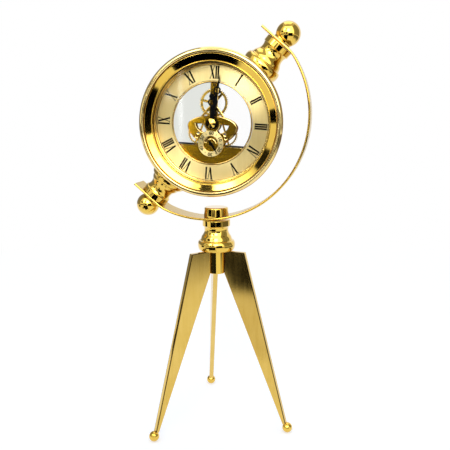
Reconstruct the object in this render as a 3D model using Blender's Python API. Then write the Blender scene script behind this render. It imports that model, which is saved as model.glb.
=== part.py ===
"""Gold skeleton clock: a round open-dial clock in a half-ring bracket on a three-legged stand.

Metres, +Z up. The dial faces -Y. The stand rests on z = 0, and the origin is the middle of the
bounding box's lower face. Clock pieces are drawn in a clock frame with x right, y up and
z forward, towards the viewer, whose origin is the middle of the case on the tilting axis.
"""
import math

import bmesh
import bpy
from mathutils import Matrix, Vector

# Clearances and round counts
GAP = 0.0003
BORE_CLEARANCE = 0.0004
CUT_OVERRUN = 0.002
MERGE = 0.000001
ROUND_FINE = 40
ROUND_INNER = 30
ROUND_POST = 20
ROUND_BALL = 14
ROUND_SMALL = 8

# Stand: three flat legs with ball feet round a short hub
FOOT_CIRCLE_R = 0.0623
FOOT_R = 0.0041
FOOT_FLAT_H = 0.0004
LEG_TOP_Z = 0.1470
LEG_TOP_R = 0.0248
LEG_T = 0.0040
LEG_EDGE = 0.0003
LEG_TIP_W = 0.0029
LEG_TIP_INSET = 0.0021
LEG_TIP_RISE = 0.0026
HUB_R = 0.0073
HUB_H = 0.0188
HUB_CHAMFER = 0.0004
SPIGOT_R = 0.0035
SPIGOT_H = 0.0070
STAND_TURN = math.radians(18.6)
LEGS = (("rear", math.radians(90)), ("left", math.radians(210)), ("right", math.radians(330)))

# Turned post, used under the bracket and twice at the case
POST_LEN = 0.0248
POST_FLANGE_R = 0.0151
POST_FLANGE_BASE_R = 0.0133
POST_FLANGE_H = 0.0083
POST_FLARE_R = 0.0130
POST_NECK_R = 0.0097
POST_NECK_H = 0.0156
POST_COLLAR_R = 0.0112
POST_COLLAR_H = 0.0048
POST_STEP = 0.0004

# Studs, cap nut and ball finials
STUD_R = 0.0020
STUD_IN = 0.0080
STUD_OUT = 0.0060
CAP_NUT_R = 0.0100
CAP_NUT_TOP_R = 0.0094
CAP_NUT_FACE_R = 0.0064
CAP_NUT_H = 0.0078
CAP_NUT_ROUND_H = 0.0014
FINIAL_R = 0.0091
FINIAL_NECK_R = 0.0073
FINIAL_NECK_H = 0.0009

# Half-ring bracket of flat strip
BAND_T = 0.0018
BAND_W = 0.0203
ARC_OFFSET = 0.0084
ARC_LEFT = 0.0073
ARC_TAIL = math.radians(12.3)
TRUNNION_LEAN = math.radians(41.0)
BAND_STEPS = 42

# Case: a drum with a rolled lip
CASE_WALL = 0.0013
CASE_FRONT = 0.0197
CASE_BACK = 0.0150
LIP_PROUD = 0.0041
LIP_DEPTH = 0.0040
LIP_ROOT = 0.0011
BEZEL_SEAT = 0.0162
LEDGE_W = 0.0015
LEDGE_T = 0.0009

# Bezel, glass and the spacer ring between glass and dial
BEZEL_GROOVE = 0.0021
BEZEL_CROWN = 0.0009
BEZEL_BEAD = 0.0010
BEZEL_W = 0.0060
RABBET = 0.0011
GLASS_FRONT = 0.0158
GLASS_T = 0.0015
BEZEL_SKIRT = 0.0130
SPACER_STEP = 0.0002
DIAL_TRIM_W = 0.0017
DIAL_TRIM_T = 0.0010

# Dial, the rim of its opening, and the ring that carries the movement
DIAL_FRONT = 0.0096
DIAL_T = 0.0008
DIAL_ROLL = math.radians(3.8)
DIAL_BAND_W = 0.0129
OPENING_RIM_W = 0.0012
OPENING_RIM_PROUD = 0.0006
CARRIER_BACK = 0.0048
CARRIER_T = 0.0010
CARRIER_RIM_W = 0.0090
CARRIER_LUG_W = 0.0062
LUG_CLEARANCE = 0.0005
LUG_SHOWS = 0.0030

# Movement layers, as heights of their front faces
PLATE_T = 0.0008
PLATE_EDGE = 0.0003
MAIN_BRIDGE_FRONT = 0.0080
TOP_BRIDGE_FRONT = 0.0069
REAR_BRIDGE_FRONT = 0.0026
TOP_WHEEL_FRONT = 0.0057
SIDE_WHEEL_FRONT = 0.0046
SECONDS_DIAL_FRONT = 0.0089

# Main bridge: a dome over a round boss that carries the seconds dial
DOME_HALF_W = 0.0196
DOME_WIDEST_Y = -0.0025
DOME_TOP_Y = 0.0060
DOME_FOOT_X = 0.0116
DOME_FOOT_Y = -0.0133
BOSS_R = 0.0093
SECONDS_Y = -0.0154
WINDOW_IN_R = 0.0066
WINDOW_OUT_R = 0.0132
WINDOW_END_R = 0.0092
WINDOW_FROM = math.radians(-4)
WINDOW_TO = math.radians(-52)
EYELET = (0.0116, -0.0104)
EYELET_R = 0.0011
SLOT_IN_R = 0.0040
SLOT_OUT_R = 0.0053
SLOT_END = math.radians(12)
PILLAR_R = 0.0009
UPPER_PILLAR = (0.0065, 0.0036)
LOWER_PILLAR = (0.0060, -0.0205)

# Top bridge: a strut from twelve o'clock with an arch whose feet stand behind the dome
STRUT_HALF_W = 0.0033
STRUT_LAP = 0.0041
STRUT_END_Y = 0.0054
ARCH_Y = 0.0129
ARCH_FOOT_X = 0.0117
ARCH_FOOT_Y = 0.0024
ARCH_W = 0.0019
SCREW_HEAD_R = 0.0013
SCREW_HEAD_T = 0.0006
SCREW_SHANK_R = 0.0006
SCREW_SLOT_W = 0.0004
STRUT_SCREW_IN = 0.0012

# Segment plate over the quartz module
SEGMENT_TOP_Y = -0.0170
SEGMENT_LAP = 0.0044

# Wheel train: pinions on the centre arbor turn the three wheels
GEAR_MODULE = 0.0005
SIDE_TEETH = 37
SIDE_PINION_TEETH = 15
TOP_TEETH = 44
TOP_PINION_TEETH = 18
SIDE_WHEEL_TURN = math.radians(-36.5)
WHEEL_T = 0.0006
PINION_T = 0.0008
TOOTH_TIP_SHARE = 0.80
TOOTH_ROOT_SHARE = 1.00
TOOTH_ROOT_WIDTH_SHARE = 0.46
TOOTH_TIP_WIDTH_SHARE = 0.18
TOP_RIM_W = 0.0017
TOP_SPOKE_W = 0.0020
SIDE_RIM_W = 0.0010
SIDE_SPOKE_W = 0.0014
WHEEL_HUB_R = 0.0026
ARBOR_R = 0.0008
ARBOR_OUT = 0.0003
CENTRE_ARBOR_R = 0.0010
WHEEL_CAP_T = 0.0006

# Seconds dial
SECONDS_DIAL_R = 0.0100
SECONDS_DIAL_IN_R = 0.0060
SECONDS_DIAL_T = 0.0006

# Hands
HAND_T = 0.0004
HOUR_HAND_FRONT = 0.0106
MINUTE_HAND_FRONT = 0.0116
SECONDS_HAND_FRONT = 0.0097
MINUTE_LEN = 0.0363
HOUR_LEN = 0.0240
SECONDS_LEN = 0.0094
SECONDS_TAIL = 0.0030
MINUTE_ANGLE = math.radians(7.5)
HOUR_ANGLE = math.radians(-2.4)
SECONDS_ANGLE = math.radians(142.4)
MINUTE_BOSS_R = 0.0045
HOUR_BOSS_R = 0.0041
HAND_HALF_W = 0.0012
HAND_TIP_HALF_W = 0.0002
HAND_RING_R = 0.0027
HAND_RING_HOLE_R = 0.0015
MINUTE_RING_AT = 0.0250
HOUR_RING_AT = 0.0159
BEAD_R = 0.0021
SMALL_BEAD_R = 0.0014
MINUTE_BEAD_AT = 0.0166
MINUTE_SMALL_BEAD_AT = 0.0210
HOUR_BEAD_AT = 0.0104
HOUR_LEAF_AT = 0.0203
SECONDS_BOSS_R = 0.0011
SECONDS_HALF_W = 0.0004
PIPE_R = 0.0022
HOUR_WHEEL_R = 0.0044
HOUR_WHEEL_T = 0.0005
CAP_R = 0.0037
CAP_H = 0.0018
CAP_RIM_H = 0.0004
CAP_BORE = 0.0005

# Quartz module with its battery bay, and the rear of the case
MODULE_BELOW_BOSS = 0.0005
MODULE_WALL = 0.0020
MODULE_SIDE_WALL = 0.0026
MODULE_CLEARANCE = 0.000155
MODULE_FRONT = 0.0045
MODULE_BACK = 0.0117
MODULE_CORNER = 0.0020
NOSE_HALF_W = 0.0080
NOSE_TOP_Y = -0.0095
NOSE_FRONT = 0.0015
NOSE_BACK = 0.0080
BAY_H = 0.0116
BAY_DEPTH = 0.0112
CELL_R = 0.0052
CELL_LEN = 0.0430
CELL_NUB_R = 0.0019
CELL_NUB_LEN = 0.0009
CELL_CLEARANCE = 0.0008
REAR_PANEL_FRONT = 0.0122
REAR_PANEL_T = 0.0015
REAR_SPLIT_UP = 0.0087
REAR_RING_T = 0.0008
COVER_GRIP_W = 0.0100
COVER_GRIP_H = 0.0020
COVER_GRIP_OUT = 0.0006
KNOB_UP = 0.0042
KNOB_R = 0.0036
KNOB_T = 0.0034
KNOB_FLUTES = 14
KNOB_FLUTE = 0.0003
KNOB_SHAFT_R = 0.0012

# Screws that hold the two posts to the drum
POST_SCREW_HEAD_R = 0.0034
POST_SCREW_HEAD_T = 0.0016
POST_SCREW_R = 0.0020
POST_SCREW_IN = 0.0070

# Wheel train, from the gear module and the tooth counts
SIDE_PITCH_R = GEAR_MODULE * SIDE_TEETH / 2
SIDE_PINION_R = GEAR_MODULE * SIDE_PINION_TEETH / 2
TOP_PITCH_R = GEAR_MODULE * TOP_TEETH / 2
TOP_PINION_R = GEAR_MODULE * TOP_PINION_TEETH / 2
TOP_WHEEL_Y = TOP_PITCH_R + TOP_PINION_R
SIDE_DISTANCE = SIDE_PITCH_R + SIDE_PINION_R
ARBOR_HOLE_R = ARBOR_R + GAP
PIPE_BORE_R = CENTRE_ARBOR_R + GAP

# Dial and case, drawn round the wheel train from the inside outwards
CARRIER_LUG_END = TOP_WHEEL_Y + TOP_PITCH_R + GEAR_MODULE * TOOTH_TIP_SHARE + LUG_CLEARANCE
OPENING_R = CARRIER_LUG_END + LUG_SHOWS
RIM_R = OPENING_R + OPENING_RIM_W
STRUT_TOP_Y = OPENING_R + STRUT_LAP
STRUT_SCREW_Y = OPENING_R - STRUT_SCREW_IN
SEGMENT_R = RIM_R + SEGMENT_LAP
DIAL_EDGE_R = OPENING_R + DIAL_BAND_W
SPACER_WALL_R = DIAL_EDGE_R + DIAL_TRIM_W
APERTURE_R = SPACER_WALL_R + SPACER_STEP
DRUM_R = APERTURE_R + BEZEL_W + GAP
DRUM_IN_R = DRUM_R - CASE_WALL
INSERT_R = DRUM_IN_R - GAP

# Quartz module, wide enough for its cell and low enough to touch neither drum nor ledge
BAY_HALF_W = CELL_LEN / 2 + CELL_NUB_LEN + CELL_CLEARANCE
MODULE_HALF_W = BAY_HALF_W + MODULE_SIDE_WALL
CORNER_REACH = DRUM_IN_R - LEDGE_W - MODULE_CLEARANCE - MODULE_CORNER
MODULE_BOTTOM_Y = -MODULE_CORNER - math.sqrt(CORNER_REACH ** 2 - (MODULE_HALF_W - MODULE_CORNER) ** 2)
MODULE_TOP_Y = SECONDS_Y - BOSS_R - MODULE_BELOW_BOSS
BAY_BOTTOM_Y = MODULE_BOTTOM_Y + MODULE_WALL
BAY_TOP_Y = BAY_BOTTOM_Y + BAY_H
KNOB_Y = MODULE_TOP_Y + KNOB_UP
REAR_SPLIT_Y = MODULE_TOP_Y + REAR_SPLIT_UP

# Bracket, from the case and its posts
POST_SEAT = DRUM_R + GAP + POST_LEN
ARC_IN_R = math.hypot(POST_SEAT, ARC_OFFSET + POST_COLLAR_R) + GAP
ARC_OUT_R = ARC_IN_R + BAND_T
ARC_CENTRE = Vector((-ARC_LEFT, 0, LEG_TOP_Z + GAP + POST_LEN + GAP + ARC_OUT_R))
TRUNNION = Vector((math.sin(TRUNNION_LEAN), 0, math.cos(TRUNNION_LEAN)))
CLOCK_CENTRE = ARC_CENTRE + ARC_OFFSET * Vector((TRUNNION.z, 0, -TRUNNION.x))


def clear_scene():
    """Removes every object of the open file."""
    for item in list(bpy.data.objects):
        bpy.data.objects.remove(item, do_unlink=True)


def metal(name, colour, roughness):
    """Returns a metal of one colour and roughness."""
    return surface(name, colour, roughness, 1)


def surface(name, colour, roughness, metallic):
    """Returns a material with a Principled BSDF."""
    material = bpy.data.materials.new(name)
    material.use_nodes = True
    shader = material.node_tree.nodes["Principled BSDF"]
    shader.inputs["Base Color"].default_value = (*colour, 1)
    shader.inputs["Roughness"].default_value = roughness
    shader.inputs["Metallic"].default_value = metallic
    material.diffuse_color = (*colour, 1)
    return material


def clear_material(name, colour, roughness):
    """Returns a see-through material."""
    material = surface(name, colour, roughness, 0)
    shader = material.node_tree.nodes["Principled BSDF"]
    shader.inputs["Transmission Weight"].default_value = 1
    return material


def frame(name, parent, place, turn=None):
    """Returns an empty that carries pieces."""
    empty = bpy.data.objects.new(name, None)
    bpy.context.collection.objects.link(empty)
    empty.parent = parent
    empty.location = place
    if turn is not None:
        empty.rotation_euler = turn.to_euler()
    return empty


def piece(bm, name, material, parent, place=(0, 0, 0), turn=None):
    """Turns a bmesh into a named object under its frame."""
    bmesh.ops.remove_doubles(bm, verts=bm.verts, dist=MERGE)
    bmesh.ops.recalc_face_normals(bm, faces=bm.faces)
    mesh = bpy.data.meshes.new(name)
    bm.to_mesh(mesh)
    bm.free()
    mesh.materials.append(material)
    mesh.shade_smooth()
    mesh.set_sharp_from_angle(angle=math.radians(30))
    item = bpy.data.objects.new(name, mesh)
    bpy.context.collection.objects.link(item)
    item.parent = parent
    item.location = place
    if turn is not None:
        item.rotation_euler = turn.to_euler()
    return item


def hide_tool(item):
    """Marks an object as a cutter or a shape to be fused, not a piece."""
    item.hide_render = True
    item.hide_set(True)
    item.display_type = "WIRE"


def combine(item, tool, operation):
    """Adds a Boolean to a piece and hides the shape that it uses."""
    modifier = item.modifiers.new(operation.title(), "BOOLEAN")
    modifier.operation = operation
    modifier.object = tool
    hide_tool(tool)


def spin_profile(points, steps, closed):
    """Spins (radius, height) points about z. A closed profile stays off the axis."""
    bm = bmesh.new()
    verts = [bm.verts.new((radius, 0, height)) for radius, height in points]
    edges = [bm.edges.new(pair) for pair in zip(verts, verts[1:])]
    if closed:
        edges.append(bm.edges.new((verts[-1], verts[0])))
    bmesh.ops.spin(bm, geom=verts + edges, axis=(0, 0, 1), cent=(0, 0, 0),
                   steps=steps, angle=math.tau, use_merge=True)
    return bm


def turned(name, points, material, parent, steps, place=(0, 0, 0), turn=None):
    """A solid of revolution whose profile starts and ends on its axis."""
    return piece(spin_profile(points, steps, False), name, material, parent, place, turn)


def ring(name, points, material, parent, steps=ROUND_FINE, place=(0, 0, 0)):
    """A ring of revolution with a closed profile."""
    return piece(spin_profile(points, steps, True), name, material, parent, place)


def offset_loop(loop, distance):
    """Moves a loop's points to the left of its direction of travel."""
    moved = []
    count = len(loop)
    for index, point in enumerate(loop):
        before = (Vector(point) - Vector(loop[index - 1])).normalized()
        after = (Vector(loop[(index + 1) % count]) - Vector(point)).normalized()
        normal = Vector((-before.y - after.y, before.x + after.x))
        normal.normalize()
        spread = max(normal.dot(Vector((-before.y, before.x))), 0.4)
        moved.append(Vector(point) + normal * (distance / spread))
    return moved


def loop_area(loop):
    """Signed area of a loop, positive when it runs anticlockwise."""
    pairs = zip(loop, loop[1:] + loop[:1])
    return sum(a[0] * b[1] - b[0] * a[1] for a, b in pairs) / 2


def add_loop(bm, loop, height):
    """Adds a closed loop of edges at a height."""
    verts = [bm.verts.new((point[0], point[1], height)) for point in loop]
    edges = [bm.edges.new(pair) for pair in zip(verts, verts[1:] + verts[:1])]
    return verts, edges


def plate(name, outline, holes, front, thickness, material, parent,
          edge=0, bores=(), place=(0, 0, 0), turn=None):
    """A flat plate. The outline and holes have a front chamfer of the edge width, bores none."""
    bm = bmesh.new()
    back = front - thickness
    loops = [(outline if loop_area(outline) > 0 else outline[::-1], edge)]
    loops += [(hole if loop_area(hole) < 0 else hole[::-1], edge) for hole in holes]
    loops += [(bore if loop_area(bore) < 0 else bore[::-1], 0) for bore in bores]
    rear_edges = []
    front_edges = []
    for loop, inset in loops:
        below, edges = add_loop(bm, loop, back)
        rear_edges += edges
        if inset:
            verts, edges = add_loop(bm, loop, front - inset)
            bridge(bm, below, verts)
            below = verts
        verts, edges = add_loop(bm, offset_loop(loop, inset) if inset else loop, front)
        bridge(bm, below, verts)
        front_edges += edges
    for edges in (rear_edges, front_edges):
        bmesh.ops.triangle_fill(bm, edges=edges, use_beauty=True, use_dissolve=False)
    return piece(bm, name, material, parent, place, turn)


def bridge(bm, below, above):
    """Walls between two loops of as many points."""
    count = len(below)
    for index in range(count):
        after = (index + 1) % count
        bm.faces.new((below[index], below[after], above[after], above[index]))


def circle(radius, steps, centre=(0, 0)):
    """Points of a circle."""
    return arc(radius, 0, math.tau * (steps - 1) / steps, steps - 1, centre)


def arc(radius, start, end, steps, centre=(0, 0)):
    """Points of an arc, from one angle to another."""
    angles = [start + (end - start) * step / steps for step in range(steps + 1)]
    return [(centre[0] + radius * math.cos(a), centre[1] + radius * math.sin(a)) for a in angles]


def rounded_box(half_width, top, bottom, corner):
    """Outline of a rectangle with round corners."""
    points = []
    corners = ((half_width - corner, top - corner, 0), (corner - half_width, top - corner, 1),
               (corner - half_width, bottom + corner, 2), (half_width - corner, bottom + corner, 3))
    for x, y, quarter in corners:
        start = quarter * math.pi / 2
        points += arc(corner, start, start + math.pi / 2, 3, (x, y))
    return points


def cylinder_tool(radius, start, end, steps, parent, place=(0, 0, 0), turn=None):
    """A plain cylinder along z that cuts, or is fused to, a piece."""
    points = [(0, start), (radius, start), (radius, end), (0, end)]
    return turned("tool_cylinder", points, bpy.data.materials[0], parent, steps, place, turn)


def along(direction):
    """Rotation that lays local z along a direction."""
    return Vector(direction).to_track_quat("Z", "Y").to_matrix().to_4x4()


def make_materials():
    """Materials of the object."""
    return {
        "polished": metal("polished_gold", (0.83, 0.58, 0.18), 0.08),
        "satin": metal("satin_gold", (0.72, 0.52, 0.20), 0.28),
        "dial": metal("champagne_dial", (0.74, 0.60, 0.34), 0.35),
        "brass": metal("movement_brass", (0.70, 0.47, 0.12), 0.22),
        "steel": metal("steel", (0.55, 0.55, 0.54), 0.25),
        "black": surface("black_lacquer", (0.012, 0.012, 0.013), 0.3, 0),
        "plastic": surface("black_plastic", (0.02, 0.02, 0.021), 0.45, 0),
        "cell": surface("battery_wrap", (0.10, 0.10, 0.11), 0.35, 0),
        "glass": clear_material("mineral_glass", (0.97, 0.99, 0.98), 0.02),
        "clear": clear_material("clear_acrylic", (0.97, 0.98, 0.98), 0.05),
    }


def post_points():
    """Profile of the turned post, base at height zero, with a bore at each end."""
    points = [(0, SPIGOT_H + GAP), (SPIGOT_R + GAP, SPIGOT_H + GAP), (SPIGOT_R + GAP, 0)]
    flange_share = ((0, 0), (0.62, 0.11), (1, 0.42), (0.94, 0.72), (0.45, 0.97))
    span = POST_FLANGE_R - POST_FLANGE_BASE_R
    points += [(POST_FLANGE_BASE_R + span * out, POST_FLANGE_H * up) for out, up in flange_share]
    flare_h = POST_FLANGE_H + POST_STEP
    points.append((POST_FLARE_R, POST_FLANGE_H))
    points.append((POST_FLARE_R, flare_h))
    neck_share = ((0.36, 0.70), (0.68, 0.24), (1, 0))
    for up, out in neck_share:
        radius = POST_NECK_R + (POST_FLARE_R - POST_NECK_R) * out
        points.append((radius, flare_h + (POST_NECK_H - flare_h) * up))
    collar_h = POST_LEN - POST_COLLAR_H
    points.append(((POST_NECK_R * 3 + POST_COLLAR_R) / 4, (POST_NECK_H + collar_h * 2) / 3))
    points.append((POST_COLLAR_R, collar_h))
    points.append((POST_COLLAR_R, POST_LEN))
    points.append((STUD_R + GAP, POST_LEN))
    points.append((STUD_R + GAP, POST_LEN - STUD_IN - GAP))
    points.append((0, POST_LEN - STUD_IN - GAP))
    return points


def build_stand(stand, look):
    """Hub, legs, feet, and the post that carries the bracket."""
    bottom = LEG_TOP_Z - HUB_H
    hub = [(0, bottom), (HUB_R - HUB_CHAMFER, bottom), (HUB_R, bottom + HUB_CHAMFER),
           (HUB_R, LEG_TOP_Z), (SPIGOT_R, LEG_TOP_Z), (SPIGOT_R, LEG_TOP_Z + SPIGOT_H),
           (0, LEG_TOP_Z + SPIGOT_H)]
    turned("stand_hub", hub, look["polished"], stand, ROUND_POST)
    for side, angle in LEGS:
        leg_frame = frame(f"leg_frame_{side}", stand, (0, 0, 0), Matrix.Rotation(angle, 4, "Z"))
        build_leg(side, leg_frame, look)
    turned("pedestal_post", post_points(), look["polished"], stand, ROUND_POST,
           (0, 0, LEG_TOP_Z + GAP))


def build_leg(side, leg_frame, look):
    """One flat tapered leg with its ball foot, along local x."""
    centre_z = FOOT_R - FOOT_FLAT_H
    tip_z = centre_z + LEG_TIP_RISE
    tip_r = FOOT_CIRCLE_R - LEG_TIP_INSET
    inner_r = HUB_R + GAP
    outline = [(inner_r, LEG_TOP_Z), (inner_r, LEG_TOP_Z - HUB_H), (tip_r - LEG_TIP_W / 2, tip_z),
               (tip_r + LEG_TIP_W / 2, tip_z), (LEG_TOP_R, LEG_TOP_Z)]
    upright = Matrix.Rotation(math.pi / 2, 4, "X")
    leg = plate(f"leg_{side}", outline, [], LEG_T / 2, LEG_T, look["satin"], leg_frame, LEG_EDGE,
                turn=upright)
    ball_centre = (FOOT_CIRCLE_R, 0, centre_z)
    seat = turned("tool_seat", ball_points(FOOT_R + GAP, FOOT_R + GAP, 6), look["satin"],
                  leg_frame, ROUND_BALL, ball_centre)
    combine(leg, seat, "DIFFERENCE")
    turned(f"foot_{side}", ball_points(FOOT_R, centre_z, 6), look["polished"], leg_frame,
           ROUND_BALL, ball_centre)


def ball_points(radius, floor_depth, steps):
    """Profile of a ball, cut flat where it is floor_depth below its centre."""
    start = -math.asin(min(floor_depth / radius, 1))
    points = [(0, -floor_depth)] if floor_depth < radius else []
    for step in range(steps + 1):
        angle = start + (math.pi / 2 - start) * step / steps
        points.append((radius * math.cos(angle), radius * math.sin(angle)))
    points[-1] = (0, radius)
    if floor_depth >= radius:
        points[0] = (0, -radius)
    return points


def band_surface_drop():
    """Height of the bracket's upper face above the post's top, on the stand's axis."""
    lowest = ARC_CENTRE.z
    return lowest - math.sqrt(ARC_IN_R ** 2 - ARC_LEFT ** 2)


def build_cap_nut(stand, look):
    """Stud and cap nut that clamp the bracket on the stand."""
    post_top = LEG_TOP_Z + GAP + POST_LEN
    band_top = band_surface_drop()
    nut_top = band_top + CAP_NUT_H
    stud_top = band_top + STUD_OUT
    stud = [(0, post_top - STUD_IN), (STUD_R, post_top - STUD_IN), (STUD_R, stud_top), (0, stud_top)]
    turned("pedestal_stud", stud, look["steel"], stand, ROUND_SMALL)
    round_r = CAP_NUT_TOP_R - CAP_NUT_FACE_R
    bottom = ARC_CENTRE.z - ARC_OUT_R
    points = [(0, stud_top + GAP), (STUD_R + GAP, stud_top + GAP), (STUD_R + GAP, bottom),
              (CAP_NUT_R, bottom), (CAP_NUT_R, band_top), (CAP_NUT_TOP_R, nut_top - CAP_NUT_ROUND_H)]
    for step in range(1, 3):
        angle = math.pi / 2 * step / 2
        points.append((CAP_NUT_FACE_R + round_r * math.cos(angle),
                       nut_top - CAP_NUT_ROUND_H * (1 - math.sin(angle))))
    points.append((0, nut_top))
    nut = turned("cap_nut", points, look["polished"], stand, ROUND_POST)
    return nut


def seat_cap_nut(nut, bracket):
    """Hollows the cap nut's lower face to the bracket's curve."""
    across = Matrix.Rotation(math.pi / 2, 4, "X")
    tool = cylinder_tool(ARC_IN_R - GAP, -BAND_W, BAND_W, 3 * ROUND_FINE, bracket, turn=across)
    combine(nut, tool, "INTERSECT")


def build_bracket(bracket, look):
    """Flat strip bent to a little more than a half ring, with its three holes."""
    axis_angle = math.pi / 2 - TRUNNION_LEAN
    mid_r = (ARC_IN_R + ARC_OUT_R) / 2
    half = math.pi / 2 - math.asin(ARC_OFFSET / mid_r) + ARC_TAIL
    middle = axis_angle - math.pi / 2
    section = [(ARC_IN_R, -BAND_W / 2), (ARC_OUT_R, -BAND_W / 2),
               (ARC_OUT_R, BAND_W / 2), (ARC_IN_R, BAND_W / 2)]
    bm = bmesh.new()
    spot = Matrix.Rotation(-(middle - half), 3, "Y")
    verts = [bm.verts.new(spot @ Vector((radius, depth, 0))) for radius, depth in section]
    edges = [bm.edges.new(pair) for pair in zip(verts, verts[1:] + verts[:1])]
    bmesh.ops.spin(bm, geom=verts + edges, axis=(0, -1, 0), cent=(0, 0, 0),
                   steps=BAND_STEPS, angle=2 * half)
    rim = [edge for edge in bm.edges if edge.is_boundary]
    bmesh.ops.holes_fill(bm, edges=rim)
    band = piece(bm, "arc_band", look["satin"], bracket)
    hole_r = STUD_R + BORE_CLEARANCE
    clock_place = CLOCK_CENTRE - ARC_CENTRE
    reach = ARC_OUT_R + CUT_OVERRUN
    for sign in (1, -1):
        tool = cylinder_tool(hole_r, DRUM_R, reach, ROUND_SMALL, bracket, clock_place,
                             along(sign * TRUNNION))
        combine(band, tool, "DIFFERENCE")
    tool = cylinder_tool(hole_r, -reach, -DRUM_R, ROUND_SMALL, bracket, (ARC_LEFT, 0, 0))
    combine(band, tool, "DIFFERENCE")


def build_case(clock, look):
    """Drum with a rolled lip in front and a ledge for the rear window."""
    lip_back = CASE_FRONT - LIP_DEPTH
    ledge_front = LEDGE_T + GAP - REAR_PANEL_FRONT
    points = [(DRUM_IN_R, BEZEL_SEAT), (DRUM_R, BEZEL_SEAT)]
    lip_share = ((0.05, 0.62), (0.42, 1), (0.80, 0.87), (1, 0.46), (0.78, 0.02))
    points += [(DRUM_R + LIP_PROUD * out, lip_back + LIP_DEPTH * up) for out, up in lip_share]
    points += [(DRUM_R, lip_back - LIP_ROOT), (DRUM_R, -CASE_BACK),
               (DRUM_IN_R, -CASE_BACK), (DRUM_IN_R, ledge_front - LEDGE_T),
               (DRUM_IN_R - LEDGE_W, ledge_front - LEDGE_T), (DRUM_IN_R - LEDGE_W, ledge_front),
               (DRUM_IN_R, ledge_front)]
    case = ring("case_drum", points, look["polished"], clock)
    for sign in (1, -1):
        direction = clock_vector(sign)
        tool = cylinder_tool(POST_SCREW_R + GAP, DRUM_IN_R - CUT_OVERRUN, DRUM_R + CUT_OVERRUN,
                             ROUND_SMALL, clock, turn=along(direction))
        combine(case, tool, "DIFFERENCE")


def clock_vector(sign):
    """Direction of the tilting axis in the clock frame."""
    return Vector((sign * TRUNNION.x, sign * TRUNNION.z, 0))


def build_bezel(clock, look):
    """Bezel, glass and the spacer ring that holds the glass off the dial."""
    outer = DRUM_R - GAP
    seat = BEZEL_SEAT + GAP
    groove = CASE_FRONT - BEZEL_GROOVE
    bead_r = APERTURE_R + BEZEL_BEAD
    rabbet_r = APERTURE_R + RABBET
    glass_top = GLASS_FRONT + GAP
    face_share = ((0.22, 1), (0.60, 0.62), (1, -0.60))
    face = [(outer - (outer - bead_r) * across, groove + BEZEL_CROWN * up)
            for across, up in face_share]
    bead_top = face[-1][1] + BEZEL_BEAD / 4
    points = [(outer, seat), (outer, groove)] + face
    points += [((APERTURE_R + bead_r) / 2, bead_top), (APERTURE_R, bead_top - BEZEL_BEAD / 2),
               (APERTURE_R, glass_top), (rabbet_r, glass_top), (rabbet_r, BEZEL_SKIRT),
               (INSERT_R, BEZEL_SKIRT), (INSERT_R, seat)]
    ring("bezel", points, look["polished"], clock)
    glass_r = rabbet_r - GAP
    glass = [(0, GLASS_FRONT - GLASS_T), (glass_r, GLASS_FRONT - GLASS_T),
             (glass_r, GLASS_FRONT), (0, GLASS_FRONT)]
    turned("front_glass", glass, look["glass"], clock, ROUND_FINE)
    top = GLASS_FRONT - GLASS_T - GAP
    step = BEZEL_SKIRT - GAP
    bottom = DIAL_FRONT + GAP
    spacer = [(SPACER_WALL_R, bottom + DIAL_TRIM_T), (SPACER_WALL_R, top), (glass_r, top),
              (glass_r, step), (INSERT_R, step), (INSERT_R, bottom), (DIAL_EDGE_R, bottom)]
    ring("spacer_ring", spacer, look["polished"], clock)


def build_dial(dial, look):
    """Dial ring, the rim of its opening, and the carrier ring behind them."""
    dial_back = DIAL_FRONT - DIAL_T
    outline = [(RIM_R + GAP, dial_back), (INSERT_R, dial_back), (INSERT_R, DIAL_FRONT),
               (RIM_R + GAP, DIAL_FRONT)]
    ring("dial_ring", outline, look["dial"], dial)
    rim_top = DIAL_FRONT + OPENING_RIM_PROUD
    rim = [(OPENING_R, dial_back), (RIM_R, dial_back), (RIM_R, DIAL_FRONT),
           ((OPENING_R + RIM_R) / 2, rim_top), (OPENING_R, DIAL_FRONT)]
    ring("opening_rim", rim, look["polished"], dial)
    rim_back = dial_back - GAP
    thin = CARRIER_BACK + CARRIER_T
    shelf_r = INSERT_R - CARRIER_RIM_W
    carrier = [(RIM_R + GAP, CARRIER_BACK), (INSERT_R, CARRIER_BACK), (INSERT_R, rim_back),
               (shelf_r, rim_back), (shelf_r, thin), (RIM_R + GAP, thin)]
    item = ring("movement_ring", carrier, look["plastic"], dial, ROUND_INNER)
    lug = rounded_box(CARRIER_LUG_W / 2, RIM_R + CUT_OVERRUN, CARRIER_LUG_END, SCREW_HEAD_R)
    screw_hole = circle(SCREW_SHANK_R + GAP, ROUND_SMALL, (0, STRUT_SCREW_Y))
    tab = plate("tool_lug", lug, [screw_hole], thin, CARRIER_T, look["plastic"], dial)
    combine(item, tab, "UNION")


def dome_outline():
    """Outline of a bridge: a dome whose sides draw in to the boss of the seconds dial."""
    height = DOME_TOP_Y - DOME_WIDEST_Y
    dome = [(DOME_HALF_W * math.cos(a), DOME_WIDEST_Y + height * math.sin(a))
            for a in (math.pi * step / 16 for step in range(17))]
    side_share = ((0.92, 0.26), (0.70, 0.53), (0.37, 0.79), (0, 1))
    right = [(DOME_FOOT_X + (DOME_HALF_W - DOME_FOOT_X) * out,
              DOME_WIDEST_Y + (DOME_FOOT_Y - DOME_WIDEST_Y) * down) for out, down in side_share]
    left = [(-x, y) for x, y in right]
    boss = arc(BOSS_R, math.pi * 1.06, math.pi * 1.94, 12, (0, SECONDS_Y))
    return dome + left + boss + right[::-1]


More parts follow.
